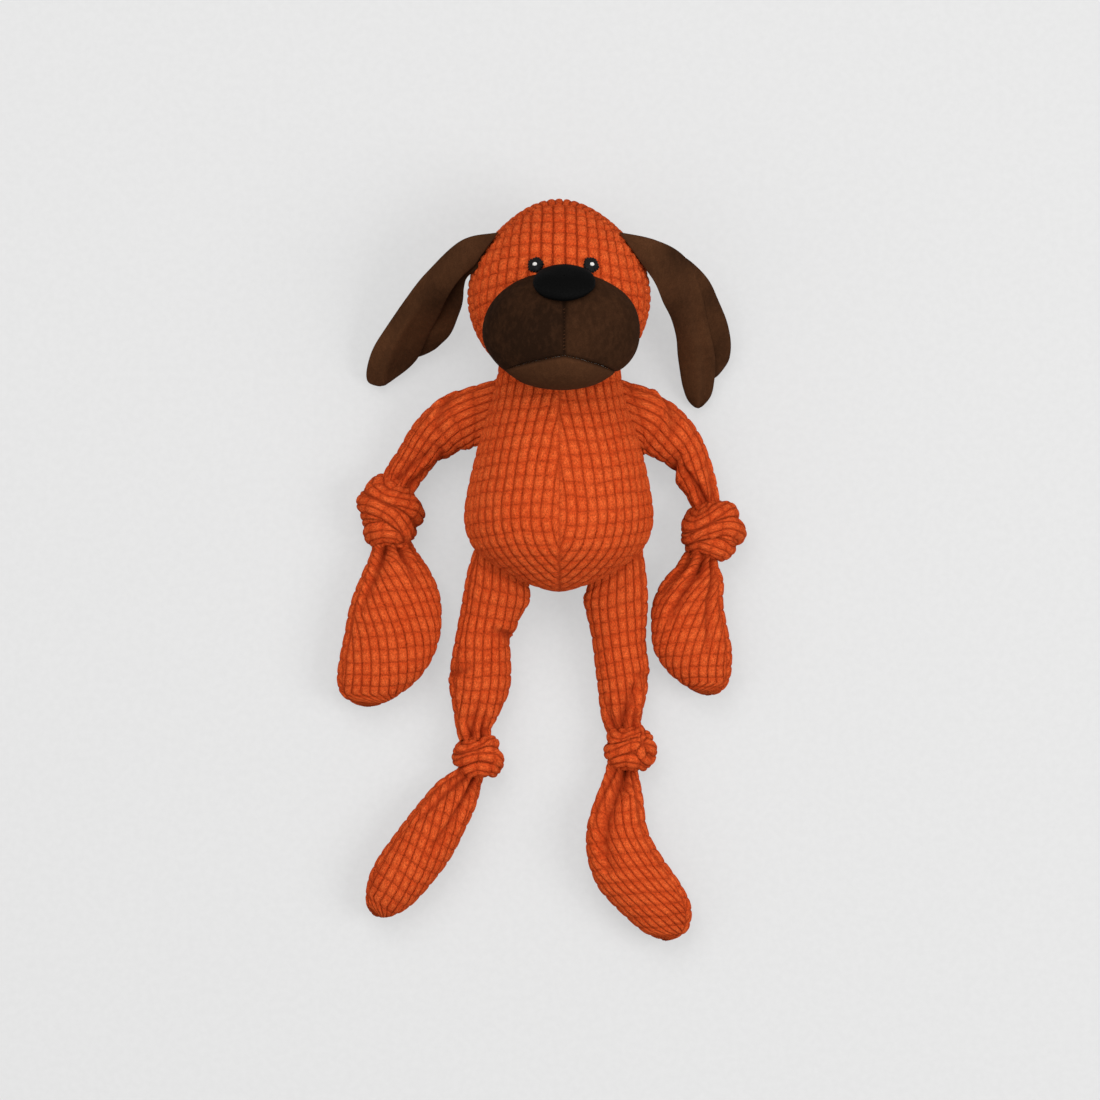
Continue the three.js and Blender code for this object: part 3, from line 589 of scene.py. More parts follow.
def join_up(tree, shader, colour, roughness, height, strength, distance):
    """Lead colour, roughness and the bumps of a surface to its shader."""
    bump = put(tree, "ShaderNodeBump", {"Height": height, "Strength": strength, "Distance": distance})
    tree.links.new(colour, shader.inputs["Base Color"])
    tree.links.new(roughness, shader.inputs["Roughness"])
    tree.links.new(bump.outputs[0], shader.inputs["Normal"])


def set_nap(shader, tint, sheen, sheen_roughness, specular):
    """The soft sheen of pile."""
    shader.inputs["Sheen Weight"].default_value = sheen
    shader.inputs["Sheen Roughness"].default_value = sheen_roughness
    shader.inputs["Sheen Tint"].default_value = opaque(tint)
    shader.inputs["Specular IOR Level"].default_value = specular


def corduroy_finish(name, pile, paler_and_lit, groove):
    """Waffle corduroy: combed pile on the wales, painted shade in the grooves and creases, a painted
    highlight on the crown of each cell and a tone that differs at random from cell to cell.
    """
    finish, tree, shader = bare_finish(name)
    groove_shade, fold_shade, groove_height = 0.5, 0.8, 0.5
    tone_share, highlight_share = 0.32, 0.8
    combed_height, fibre_height = 0.6, 0.5
    waviness = 0.2

    weave = put(tree, "ShaderNodeAttribute", attribute_name="weave").outputs["Vector"]
    across, along, recess_shade = put(tree, "ShaderNodeSeparateXYZ", {0: weave}).outputs
    wale = sum_of(tree, "PINGPONG", sum_of(tree, "ADD", across, 0.5), 0.5)
    rib = sum_of(tree, "PINGPONG", along, 0.5)
    uneven = sum_of(tree, "SUBTRACT", grain(tree, weave, scale=6.0, detail=3.0, roughness=0.8), 0.5)
    wavy = sum_of(tree, "MULTIPLY", uneven, waviness)
    corner = share_between(tree, rib, start=0.0, stop=0.14, low=0.06, high=0.0)
    wale_edge = sum_of(tree, "SUBTRACT", sum_of(tree, "ADD", wale, wavy), corner)
    wale_groove = share_between(tree, wale_edge, start=0.0, stop=0.11, low=0.8, high=0.0)
    broken = share_between(tree, grain(tree, weave, scale=1.7), start=0.35, stop=0.65, low=0.15, high=0.58)
    rib_groove = share_between(tree, sum_of(tree, "ADD", rib, wavy), start=0.0, stop=0.07, low=1.0, high=0.0)
    rib_groove = sum_of(tree, "MULTIPLY", rib_groove, broken)
    grooves = sum_of(tree, "MAXIMUM", wale_groove, rib_groove)
    deep = sum_of(tree, "MAXIMUM", grooves, recess_shade)
    # Painted shade in the grooves and in seams, creases and pleats
    shaded_groove = sum_of(tree, "MULTIPLY", grooves, groove_shade)
    shade = sum_of(tree, "MAXIMUM", shaded_groove, sum_of(tree, "MULTIPLY", recess_shade, fold_shade))

    combed = grain(tree, stretched(tree, weave, 4.5, 2.6, 1.0), scale=1.0, detail=4.0, roughness=0.75)
    fibre = grain(tree, stretched(tree, weave, 7.0, 6.5, 1.0), scale=1.0, detail=3.0, roughness=0.85)
    half_a_wale = (0.5, 0.0, 0.0)
    moved = put(tree, "ShaderNodeVectorMath", {0: weave, 1: half_a_wale}, operation="ADD").outputs[0]
    flat = stretched(tree, moved, 1, 1, 0)
    cell = put(tree, "ShaderNodeVectorMath", {0: flat}, operation="FLOOR").outputs[0]
    tone = put(tree, "ShaderNodeTexWhiteNoise", {"Vector": cell}, noise_dimensions="2D").outputs["Value"]
    # Painted highlight on the crown of each cell, in patches along the combed pile, added to a tone that
    # differs at random from cell to cell
    crown = share_between(tree, sum_of(tree, "MINIMUM", wale, rib), start=0.1, stop=0.42)
    tone_and_highlight = sum_of(tree, "MULTIPLY", crown, share_between(tree, combed, start=0.4, stop=0.56))
    tone_and_highlight = sum_of(tree, "MULTIPLY_ADD", tone, tone_share, sum_of(tree, "MULTIPLY", tone_and_highlight, highlight_share))

    colour = mixed(tree, tone_and_highlight, opaque(pile), opaque(paler_and_lit))
    between_fibres = share_between(tree, fibre, start=0.4, stop=0.56, low=0.6, high=0.0)
    colour = mixed(tree, between_fibres, colour, opaque(groove))
    colour = mixed(tree, shade, colour, opaque(groove))
    raised_fibre = sum_of(tree, "MULTIPLY", fibre, fibre_height)
    height = sum_of(tree, "MULTIPLY_ADD", combed, combed_height, raised_fibre)
    height = sum_of(tree, "SUBTRACT", height, sum_of(tree, "MULTIPLY", deep, groove_height))
    rough = share_between(tree, fibre, start=0.2, stop=0.8, low=0.98, high=0.86)
    join_up(tree, shader, colour, rough, height, strength=1.0, distance=0.0014)
    set_nap(shader, paler_and_lit, sheen=0.12, sheen_roughness=0.45, specular=0.05)
    return finish


def velour_finish(name, pile, lighter_pile):
    """Short pile velour: a fine nap, lighter in soft patches and tufts, with painted shade along its sunk
    seams.
    The weave's first number says how light the pile is there, and its third how much painted shade lies
    there."""
    finish, tree, shader = bare_finish(name)
    patch_share, tuft_share, piece_share = 0.14, 0.12, 0.5
    dark_share, fold_shade = 0.35, 0.8
    tuft_height, nap_height = 0.7, 0.4

    place = put(tree, "ShaderNodeTexCoord").outputs["Object"]
    weave = put(tree, "ShaderNodeAttribute", attribute_name="weave").outputs["Vector"]
    lightness, _, recess_shade = put(tree, "ShaderNodeSeparateXYZ", {0: weave}).outputs
    nap = grain(tree, place, scale=1700.0, detail=2.0, roughness=0.7)
    tufts = grain(tree, stretched(tree, place, 420.0, 230.0, 420.0), scale=1.0, detail=3.0, roughness=0.6)
    patches = grain(tree, place, scale=38.0, detail=2.0, roughness=0.5)
    lighter_share = sum_of(tree, "MULTIPLY", share_between(tree, patches, start=0.3, stop=0.75), patch_share)
    brushed_tufts = share_between(tree, tufts, start=0.35, stop=0.75)
    lighter_share = sum_of(tree, "MULTIPLY_ADD", brushed_tufts, tuft_share, lighter_share)
    lighter_share = sum_of(tree, "MULTIPLY_ADD", lightness, piece_share, lighter_share)

    colour = mixed(tree, lighter_share, opaque(pile), opaque(lighter_pile))
    darker = tuple(value * dark_share for value in pile)
    between_naps = share_between(tree, nap, start=0.3, stop=0.7, low=0.3, high=0.0)
    colour = mixed(tree, between_naps, colour, opaque(darker))
    # Painted shade along the sunk seams
    colour = mixed(tree, sum_of(tree, "MULTIPLY", recess_shade, fold_shade), colour, opaque(darker))
    height = sum_of(tree, "MULTIPLY_ADD", tufts, tuft_height, sum_of(tree, "MULTIPLY", nap, nap_height))
    rough = share_between(tree, tufts, start=0.2, stop=0.8, low=0.95, high=0.8)
    join_up(tree, shader, colour, rough, height, strength=0.4, distance=0.0004)
    set_nap(shader, lighter_pile, sheen=0.12, sheen_roughness=0.35, specular=0.04)
    return finish


def thread_finish(name, thread, lit, strands, rough, shine):
    """Satin stitch: threads side by side, counted across the weave, with a soft shine along them."""
    finish, tree, shader = bare_finish(name)
    twist_height, rough_spread = 0.3, 0.1
    weave = put(tree, "ShaderNodeAttribute", attribute_name="weave").outputs["Vector"]
    across = put(tree, "ShaderNodeSeparateXYZ", {0: weave}).outputs[0]
    place = put(tree, "ShaderNodeTexCoord").outputs["Object"]
    strand = sum_of(tree, "PINGPONG", sum_of(tree, "MULTIPLY", across, strands), 0.5)
    round_strand = share_between(tree, strand, start=0.0, stop=0.45)
    twist = grain(tree, stretched(tree, place, 2200.0, 900.0, 2200.0), scale=1.0, detail=2.0, roughness=0.6)
    twisted = share_between(tree, twist, start=0.3, stop=0.7, low=0.3, high=1.0)
    colour = mixed(tree, sum_of(tree, "MULTIPLY", round_strand, twisted), opaque(thread), opaque(lit))
    dull, bright = rough + rough_spread, rough - rough_spread
    roughness = share_between(tree, twist, start=0.2, stop=0.8, low=dull, high=bright)
    height = sum_of(tree, "MULTIPLY_ADD", twist, twist_height, round_strand)
    join_up(tree, shader, colour, roughness, height, strength=0.35, distance=0.00025)
    shader.inputs["Specular IOR Level"].default_value = shine
    return finish


def loose_finish(name, light, shaded, scale, rough, bump_depth):
    """A plain light stuff with a fine tangle in it: fibre filling or blown vinyl."""
    finish, tree, shader = bare_finish(name)
    rough_spread = 0.12
    place = put(tree, "ShaderNodeTexCoord").outputs["Object"]
    tangle = grain(tree, place, scale=scale, detail=5.0, roughness=0.7)
    shade = share_between(tree, tangle, start=0.3, stop=0.7)
    colour = mixed(tree, shade, opaque(shaded), opaque(light))
    roughness = share_between(tree, tangle, start=0.2, stop=0.8, low=rough, high=rough - rough_spread)
    join_up(tree, shader, colour, roughness, tangle, strength=0.5, distance=bump_depth)
    return finish


def backdrop_finish(name, shade):
    """A plain floor. Part of its paleness is its own glow, which only the camera and reflections see."""
    finish, tree, shader = bare_finish(name)
    speckle_shade = 0.97
    place = put(tree, "ShaderNodeTexCoord").outputs["Object"]
    speckle = grain(tree, place, scale=300.0)
    darker = tuple(value * speckle_shade for value in shade)
    speckled = share_between(tree, speckle, start=0.2, stop=0.8)
    colour = mixed(tree, speckled, opaque(shade), opaque(darker))
    rays = put(tree, "ShaderNodeLightPath").outputs
    seen = sum_of(tree, "MAXIMUM", rays["Is Camera Ray"], rays["Is Glossy Ray"])
    seen = sum_of(tree, "MAXIMUM", seen, rays["Is Transmission Ray"])
    tree.links.new(colour, shader.inputs["Base Color"])
    tree.links.new(colour, shader.inputs["Emission Color"])
    tree.links.new(sum_of(tree, "MULTIPLY", seen, FLOOR_GLOW), shader.inputs["Emission Strength"])
    shader.inputs["Roughness"].default_value = 0.9
    shader.inputs["Specular IOR Level"].default_value = 0.0
    return finish


# Forms of the pieces

def torso_form(along, turn):
    """The pear-shaped body, by rows from the neck down and by turn from its front middle."""
    rows = curve_through(TORSO_ROWS, along)
    return np.stack([
        rows[..., 1] * np.sin(turn),
        rows[..., 0] + 0 * turn,
        TORSO_MIDDLE + rows[..., 2] * np.cos(turn),
    ], axis=-1)


def ball_form(place, halves, top_stretch=1.0, top_draw=0.0):
    """A ball or egg with its pole to the front, by turn away from the pole and round it.
    Its top may be stretched up and drawn in at the sides."""
    draw_start = 0.15

    def form(along, turn):
        ball = np.stack([
            halves[0] * np.sin(along) * np.cos(turn),
            halves[1] * np.sin(along) * np.sin(turn),
            halves[2] * np.cos(along) + 0 * turn,
        ], axis=-1)
        ball[..., 1] = np.where(ball[..., 1] > 0, ball[..., 1] * top_stretch, ball[..., 1])
        rise = np.maximum(ball[..., 1] / halves[1] + draw_start, 0)
        ball[..., 0] = ball[..., 0] * (1 - top_draw * rise * rise)
        return ball + np.asarray(place, float)
    return form


def snout_form(along, turn):
    """The snout, by turn down from its top and round it from its front middle."""
    return np.stack([
        SNOUT_PLACE[0] + SNOUT_HALF[0] * np.sin(along) * np.sin(turn),
        SNOUT_PLACE[1] + SNOUT_HALF[1] * np.cos(along),
        SNOUT_PLACE[2] + SNOUT_HALF[2] * np.sin(along) * np.cos(turn),
    ], axis=-1)


def limb_form(rows, first_across, held_rows):
    """A tube through given rows, by rows from its start and by turn from its top.
    Its width lies along first_across for about held_rows, and from there on square to its run."""
    small = 0.02
    climb_share = 0.35

    def form(along, turn):
        along = along + 0 * turn
        here = curve_through(rows, along)
        ahead = curve_through(rows, along + small)[..., :3] - curve_through(rows, along - small)[..., :3]
        onward = unit(ahead * np.array([1, 1, climb_share]))
        square = unit(np.cross(UPWARD, onward))
        freed = smooth_step(along, held_rows - 1, held_rows + 1)[..., None]
        across = unit(np.asarray(first_across, float) * (1 - freed) + square * freed)
        upward = unit(np.cross(onward, across))
        aside = across * (here[..., 3] / 2 * np.sin(turn))[..., None]
        return here[..., :3] + aside + upward * (here[..., 4] / 2 * np.cos(turn))[..., None]
    return form


def leaf_form(rows, hand, arch, crease_share, crease_depth):
    """An ear leaf between its outer and inner edges, with rounded rims, an arch across it and a crease."""
    last = len(rows) - 1
    tip_start = 0.84
    crease_start, crease_full, crease_width = 0.25, 0.6, 0.13
    slimmest = 0.6
    arch_power, rim_power = 0.6, 0.6

    def form(along, turn):
        along = along + 0 * turn
        here = curve_through(rows, along)
        share = 0.5 + hand * 0.5 * np.cos(turn)
        reach = along / last
        full = np.sin(np.pi * np.clip(reach, 0, 1)) ** arch_power
        height = here[..., 4] + arch * full * np.sin(np.pi * share)
        creased = smooth_step(reach, crease_start, crease_full)
        height = height - crease_depth * creased * np.exp(-((share - crease_share) / crease_width) ** 2)
        width = np.hypot(here[..., 2] - here[..., 0], here[..., 3] - here[..., 1])
        tip = np.sqrt(np.maximum(1 - (np.maximum(reach - tip_start, 0) / (1 - tip_start)) ** 2, 0))
        share = 0.5 + (share - 0.5) * tip
        rim = np.sign(np.sin(turn)) * np.abs(np.sin(turn)) ** rim_power
        height = height + rim * np.minimum(EAR_THICKNESS, width * slimmest) * np.sqrt(tip) / 2
        return np.stack([
            here[..., 0] * (1 - share) + here[..., 2] * share,
            here[..., 1] * (1 - share) + here[..., 3] * share,
            height,
        ], axis=-1)
    return form


def even_places(rows, spacing, columns):
    """Places along given rows, an even distance apart."""
    samples, fewest = 800, 8
    dense = np.linspace(0, len(rows) - 1, samples)
    path = curve_through(rows, dense)[:, columns]
    lengths = np.concatenate([[0], np.cumsum(np.linalg.norm(np.diff(path, axis=0), axis=1))])
    count = max(fewest, int(round(lengths[-1] / spacing)))
    return np.interp(np.linspace(0, lengths[-1], count), lengths, dense)[:, None]


def from_pole(count):
    """Turns from one pole of a round form to the other, in even steps."""
    return np.linspace(POLE_GAP, FAR_POLE, count)[:, None]


def turns_between(left, right, count):
    """Turns in even steps from the left to the right edge of a panel, which may differ by row."""
    share = np.linspace(0, 1, count)[None, :]
    return left * (1 - share) + right * share


def around(count):
    """Turns once round, with the first one again at the end."""
    return np.linspace(0, 2 * math.pi, count + 1)[None, :]


def stand_for(piece, fill, *nodes):
    """Hide the CAD nodes that a padded piece stands in for."""
    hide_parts(*nodes)


def dress(piece, body, fill, *nodes):
    """Let a padded piece ride on its body in place of its CAD nodes."""
    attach(piece, body)
    stand_for(piece, fill, *nodes)


# Pieces

def make_torso(sizes, finish):
    """Two front panels and a back panel, with the wales of each one straight down its middle."""
    ribs_fade = 16
    end_start, end_stop = 12, 34
    places = even_places(TORSO_ROWS, sizes["grid"], [0, 1])
    rows = curve_through(TORSO_ROWS, places)
    half_width = rows[..., 1]
    side = np.arccos(np.clip((SIDE_SEAM - TORSO_MIDDLE) / rows[..., 2], FURTHEST_SEAM, 1))
    panels = {
        "torso_front_left": (-side, 0 * side),
        "torso_front_right": (0 * side, side),
        "torso_back": (side, 2 * math.pi - side),
    }
    for name, (left, right) in panels.items():
        span = float(np.max((right - left) * half_width))
        cloth = Cloth(torso_form, places, turns_between(left, right, even_steps(span, sizes)))
        cloth.raise_ribs(sizes, "torso")
        cloth.relief = (cloth.relief + TORSO_LIFT) * smooth_step(half_width, 0, ribs_fade)
        cloth.relief += TORSO_END_FULLNESS * (1 - smooth_step(half_width, end_start, end_stop))
        cloth.relief += soft_dents(cloth.points, "torso")
        piece = mesh_piece(f"{name}_cloth", [cloth], finish)
        trim_inside(piece, HEAD_PLACE, HEAD_RADIUS - TRIM_DEPTH["torso"])
        dress(piece, "torso", "torso", name)


def make_head(sizes, finish):
    """A front and a back panel, sewn together in a ring behind the face."""
    top_spread = 0.12
    brow_curve, brow_offset = 0.0033, 2.0
    form = ball_form(HEAD_PLACE, [HEAD_RADIUS] * 3, CROWN, TOP_DRAW)
    seam = math.acos(FACE_SEAM / HEAD_RADIUS)
    columns = even_steps(2 * math.pi * HEAD_RADIUS, sizes)
    for name, start, stop in (("head_front", FINE_POLES[0], seam), ("head_back", seam, FINE_POLES[1])):
        count = even_steps(HEAD_RADIUS * (stop - start), sizes)
        along = np.linspace(start, stop, count)[:, None]
        cloth = Cloth(form, along, around(columns))
        x, y, z = np.moveaxis(cloth.points - np.asarray(HEAD_PLACE), -1, 0)
        if name == "head_front":
            rise = np.arcsin(np.clip(y / np.linalg.norm([x, y, z], axis=0), -1, 1))
            spread = 1 + top_spread * y / HEAD_RADIUS
            cloth.across = HEAD_RADIUS * np.arctan2(x, z) * np.cos(rise) * spread
            cloth.along = HEAD_RADIUS * rise + brow_curve * x * x + brow_offset
        else:
            from_back = HEAD_RADIUS * (math.pi - along) / np.hypot(x, y)
            cloth.across = from_back * x
            cloth.along = from_back * y
        cloth.edge = HEAD_RADIUS * np.abs(along - seam) + 0 * x
        cloth.raise_ribs(sizes, "head")
        cloth.relief += soft_dents(cloth.points, "head")
        piece = mesh_piece(f"{name}_cloth", [cloth], finish, closed=(0,))
        dress(piece, "head", "head", name)
    make_ball_filling("head_filling", HEAD_PLACE, [HEAD_RADIUS - HEAD_CLOTH] * 3, CROWN, TOP_DRAW)


def make_ball_filling(node, place, halves, top_stretch=1.0, top_draw=0.0):
    """The filling inside a round piece."""
    rows, columns = 30, 60
    core = Cloth(ball_form(place, halves, top_stretch, top_draw), from_pole(rows), around(columns))
    piece = mesh_piece(f"{node}_fibre", [core], finish_named("filling"), closed=(0,))
    dress(piece, "head", "head", node)


def mouth_height(x):
    """Height on the toy of the mouth seam, a shallow peak under the nose."""
    slope, right_slope, peak_width = 0.2, 0.05, 3
    aside = x - NOSE_PLACE[0]
    peak = MOUTH_HEIGHT - slope * np.sqrt(aside * aside + peak_width ** 2)
    return peak - right_slope * np.maximum(aside, 0)


def make_snout(sizes, finish, thread):
    """Two cheeks and a chin, puffed between a centre seam and the mouth seam, with stitches and painted shade
    along both.
    """
    middle = 0.035
    cheek_girth, cheek_drop, chin_drop = 2.4, 2.0, 1.2
    seam_share, seam_aside = 0.88, 1.3
    sunk_reach, cheek_sunk, chin_sunk = 12, 1.3, 0.9
    stitched_depth, stitched_reach = 0.8, 1.3
    shade_reach = 0.9
    seam_end_start, seam_end_stop = 20, 34
    far = 40
    puff = 0.1
    columns = even_steps(SNOUT_HALF[0] * cheek_girth, sizes)
    panels = {"left": (-CHEEK_WRAP, middle), "right": (middle, CHEEK_WRAP), "chin": (-CHIN_WRAP, CHIN_WRAP)}
    for part, (left, right) in panels.items():
        cheek = part != "chin"
        turn = np.linspace(left, right, columns if cheek else 2 * columns)[None, :]
        x = SNOUT_PLACE[0] + SNOUT_HALF[0] * seam_share * np.sin(turn)
        mouth = np.arccos((mouth_height(x) - SNOUT_PLACE[1]) / SNOUT_HALF[1])
        count = even_steps(SNOUT_HALF[1] * (cheek_drop if cheek else chin_drop), sizes)
        share = np.linspace(0, 1, count)[:, None]
        start, stop = (POLE_GAP, mouth) if cheek else (mouth, math.pi - POLE_GAP)
        cloth = Cloth(snout_form, start * (1 - share) + stop * share, turn + 0 * share)
        down = running_length(cloth.points, 0)
        from_mouth = down[-1:] - down if cheek else down
        from_seam = np.abs(cloth.points[..., 0] - SNOUT_PLACE[0] - seam_aside)
        from_middle = from_seam if cheek else from_mouth + far
        edge = np.minimum(from_mouth, from_middle)
        aside = np.abs(cloth.points[..., 0] - NOSE_PLACE[0])
        mouth_end = 1 - smooth_step(aside, seam_end_start, seam_end_stop)
        sewn = np.where(from_mouth < from_middle, mouth_end, 1)
        sunk = (cheek_sunk if cheek else chin_sunk) * (1 - smooth_step(edge, 0, sunk_reach))
        sunk = sunk + stitched_depth * np.exp(-(edge / stitched_reach) ** 2)
        cloth.relief = puff - sunk * sewn
        cloth.relief += soft_dents(cloth.points, "snout")
        cloth.across = cloth.across * 0 + VELOUR_LIGHTNESS[part]
        # Painted shade along the sunk seams
        cloth.recess_shade = sewn * np.exp(-(edge / shade_reach) ** 2)
        node = f"snout_cheek_{part}" if cheek else "snout_chin"
        piece = mesh_piece(f"{node}_cloth", [cloth], finish)
        trim_inside(piece, HEAD_PLACE, HEAD_RADIUS - TRIM_DEPTH["snout"])
        dress(piece, "head", "head", node)
    make_stitches(thread)
    make_ball_filling("snout_filling", SNOUT_PLACE, [half - SNOUT_CLOTH for half in SNOUT_HALF])


def make_stitches(thread):
    """Small stitches down the snout's centre seam and along its mouth seam."""
    centre_span, centre_step = (78.5, 101), 1.9
    mouth_span, mouth_step = (-22, 26), 1.7
    centre_lean, mouth_lean = 0.35, 1.35
    swing_reach, swing_step = 0.25, 2.4
    sunk, under_mouth, seam_aside = 1.95, 0.2, 1.25
    flattest = 0.05
    stitch_half = (0.95, 0.2, 0.25)
    rows, columns = 6, 10
    seam_x = SNOUT_PLACE[0] + seam_aside
    ways = [(seam_x, height, centre_lean) for height in np.arange(*centre_span, centre_step)]
    for aside in np.arange(*mouth_span, mouth_step):
        x = NOSE_PLACE[0] + aside
        ways.append((x, float(mouth_height(x)) - under_mouth, mouth_lean))
    cloths = []
    for number, (x, y, lean) in enumerate(ways):
        rest = 1 - ((x - SNOUT_PLACE[0]) / SNOUT_HALF[0]) ** 2 - ((y - SNOUT_PLACE[1]) / SNOUT_HALF[1]) ** 2
        if rest < flattest:
            continue
        place = np.array([x, y, SNOUT_PLACE[2] + SNOUT_HALF[2] * math.sqrt(rest)])
        outward = unit((place - np.asarray(SNOUT_PLACE)) / np.square(SNOUT_HALF))
        swing = lean + swing_reach * math.sin(number * swing_step)
        onward = unit(np.cross(outward, np.array([math.sin(swing), -math.cos(swing), 0.0])))
        cloths.append(stud(place - outward * sunk, outward, onward, stitch_half, rows, columns))
    piece = mesh_piece("snout_stitches", cloths, thread, closed=range(len(cloths)))
    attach(piece, "head")


def stud(place, outward, onward, halves, rows, columns):
    """A small rounded pad that sits square on a surface."""
    aside = np.cross(outward, onward)
    flat = ball_form((0, 0, 0), halves)

    def form(along, turn):
        local = flat(along, turn)
        return place + local[..., [0]] * onward + local[..., [1]] * aside + local[..., [2]] * outward
    return Cloth(form, from_pole(rows), around(columns))


def make_nose(sizes, finish):
    """A padded oval that sits high between the cheeks."""
    rows, girth = 60, 97
    tilt = math.radians(NOSE_TILT)
    outward = np.array([0, math.sin(tilt), math.cos(tilt)])
    onward = np.array([1.0, 0.0, 0.0])
    cloth = stud(np.asarray(NOSE_PLACE), outward, onward, NOSE_HALF, rows, even_steps(girth, sizes))
    cloth.across = cloth.points[..., 0] - NOSE_PLACE[0]
    cloth.along = cloth.points[..., 1]
    cloth.relief = soft_dents(cloth.points, "nose")
    piece = mesh_piece("nose_pad", [cloth], finish, closed=(0,))
    dress(piece, "head", "pad", "nose")


def make_eyes(finish, glint):
    """Embroidered black eyes with stitches round them like rays, and a white dot of thread in each."""
    rows, columns = 26, 96
    glint_rows, glint_columns = 12, 24
    ray_heights = ((17, 0.22, 0), (5, 0.18, 1), (29, 0.1, 0))
    eye_halves = (EYE_RADIUS, EYE_RADIUS, EYE_HALF_DEPTH)
    glint_halves = (GLINT_RADIUS, GLINT_RADIUS * GLINT_SHAPE, GLINT_HALF_DEPTH)
    for side, (x, y) in EYES.items():
        reach = np.array([x, (y - HEAD_PLACE[1]) / CROWN])
        place = np.array([x, y, HEAD_PLACE[2] + math.sqrt(HEAD_RADIUS ** 2 - reach @ reach)])
        outward = unit(place - np.asarray(HEAD_PLACE))
        onward = unit(np.cross(np.array([0.0, 1.0, 0.0]), outward))
        eye = stud(place + outward * EYE_LIFT, outward, onward, eye_halves, rows, columns)
        turn = around(columns)
        eye.across = turn / (2 * math.pi) + 0 * eye.across
        rays = sum(height * np.sin(turn * count + start * x) for count, height, start in ray_heights)
        eye.relief = np.sin(from_pole(rows)) ** 3 * rays
        piece = mesh_piece(f"eye_{side}_stitched", [eye], finish, closed=(0,))
        dress(piece, "head", "pad", f"eye_{side}")
        dot = stud(place + outward * GLINT_LIFT, outward, onward, glint_halves, glint_rows, glint_columns)
        dot.across = dot.points[..., 0] - x
        piece = mesh_piece(f"eye_glint_{side}_stitched", [dot], glint, closed=(0,))
        dress(piece, "head", "pad", f"eye_glint_{side}")


def make_ears(sizes, finish):
    """Each ear is folded down its length into a front leaf and a back leaf."""
    girth = 60
    end_power = 0.4
    for name, ear in EARS.items():
        hand = -1 if name.endswith("left") else 1
        for leaf in ("front", "back"):
            crease_depth = ear["crease_depth"] if leaf == "front" else 0
            form = leaf_form(ear[leaf], hand, EAR_ARCH[leaf], ear["crease_share"], crease_depth)
            places = even_places(ear[leaf], sizes["grid"], [0, 1, 4])
            reach = places / (len(ear[leaf]) - 1)
            cloth = Cloth(form, places, around(even_steps(girth, sizes)))
            cloth.relief = soft_dents(cloth.points, f"ear_{leaf}")
            cloth.relief *= np.sin(np.pi * np.clip(reach, 0, 1)) ** end_power
            # The back leaf is darker than the front leaf, as painted shade under it
            cloth.across = VELOUR_LIGHTNESS[leaf] + TIP_LIGHTNESS * reach + soft_dents(cloth.points, "ear_pile")
            piece = mesh_piece(f"{name}_{leaf}_leaf", [cloth], finish, closed=(0,))
            stand_for(piece, "ear", f"{name}_{leaf}")
            metres(ear["joint_start"])
            metres(ear["joint_stop"])
            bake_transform(piece)


def tube_panels(limb, part, form, sizes, gathering, slant_share, seed):
    """Two cloth panels of a limb's tube. Where it is drawn in, the same cloth gathers into pleats with
    painted shade in their hollows.
    """
    rows, seam, folds = limb[part], limb["seam_turn"], limb["folds"]
    flattened, pleat_middle, pleat_power = 0.35, 0.3, 2.2
    shade, shade_start = 0.75, 0.72
    uneven = 0.8
    crease_steps = 5
    girth = GATHERED_GIRTH * math.pi * max(row[3] + row[4] for row in limb["paw"]) / 2
    places = even_places(rows, sizes["grid"], [0, 1, 2, 3])
    here = curve_through(rows, places)
    around_it = math.pi * (here[..., 3] + here[..., 4]) / 2
    widest = max(row[3] + row[4] for row in rows) / 2
    columns = even_steps(math.pi * widest, sizes)
    pull = smooth_step(np.interp(places, [0, len(rows) - 1], gathering), 0.0, 1.0)
    cloths = []
    for half in (0, 1):
        left = math.radians(seam) + half * math.pi
        cloth = Cloth(form, places, turns_between(left + 0 * places, left + math.pi + 0 * places, columns))
        slant = slant_share * limb["slants"][half]
        cloth.across = cloth.across - slant * (cloth.along - cloth.along[-1:] * 0.5)
        cloth.raise_ribs(sizes, "limb", narrowed=np.maximum(girth / around_it, 1))
        turn = turns_between(left, left + math.pi, columns)
        wave = 0.5 + 0.5 * np.cos(folds * turn + uneven * np.sin(2 * turn + seed) + seed)
        pleat = wave ** pleat_power - pleat_middle
        cloth.relief = cloth.relief * (1 - flattened * pull) - PLEAT_DEPTH * pull * pleat
        # Painted shade in the pleats' hollows
        cloth.recess_shade = np.maximum(cloth.recess_shade, shade * pull * smooth_step(wave, shade_start, 1.0))
        cloth.relief += soft_dents(cloth.points, "limb", seed)
        for start, start_turn, stop, stop_turn, half_width, depth in limb[f"{part}_creases"]:
            share = np.linspace(0, 1, crease_steps)
            path_turn = np.radians(start_turn + (stop_turn - start_turn) * share)
            crease(cloth, form(start + (stop - start) * share, path_turn), half_width, depth)
        cloths.append(cloth)
    return cloths


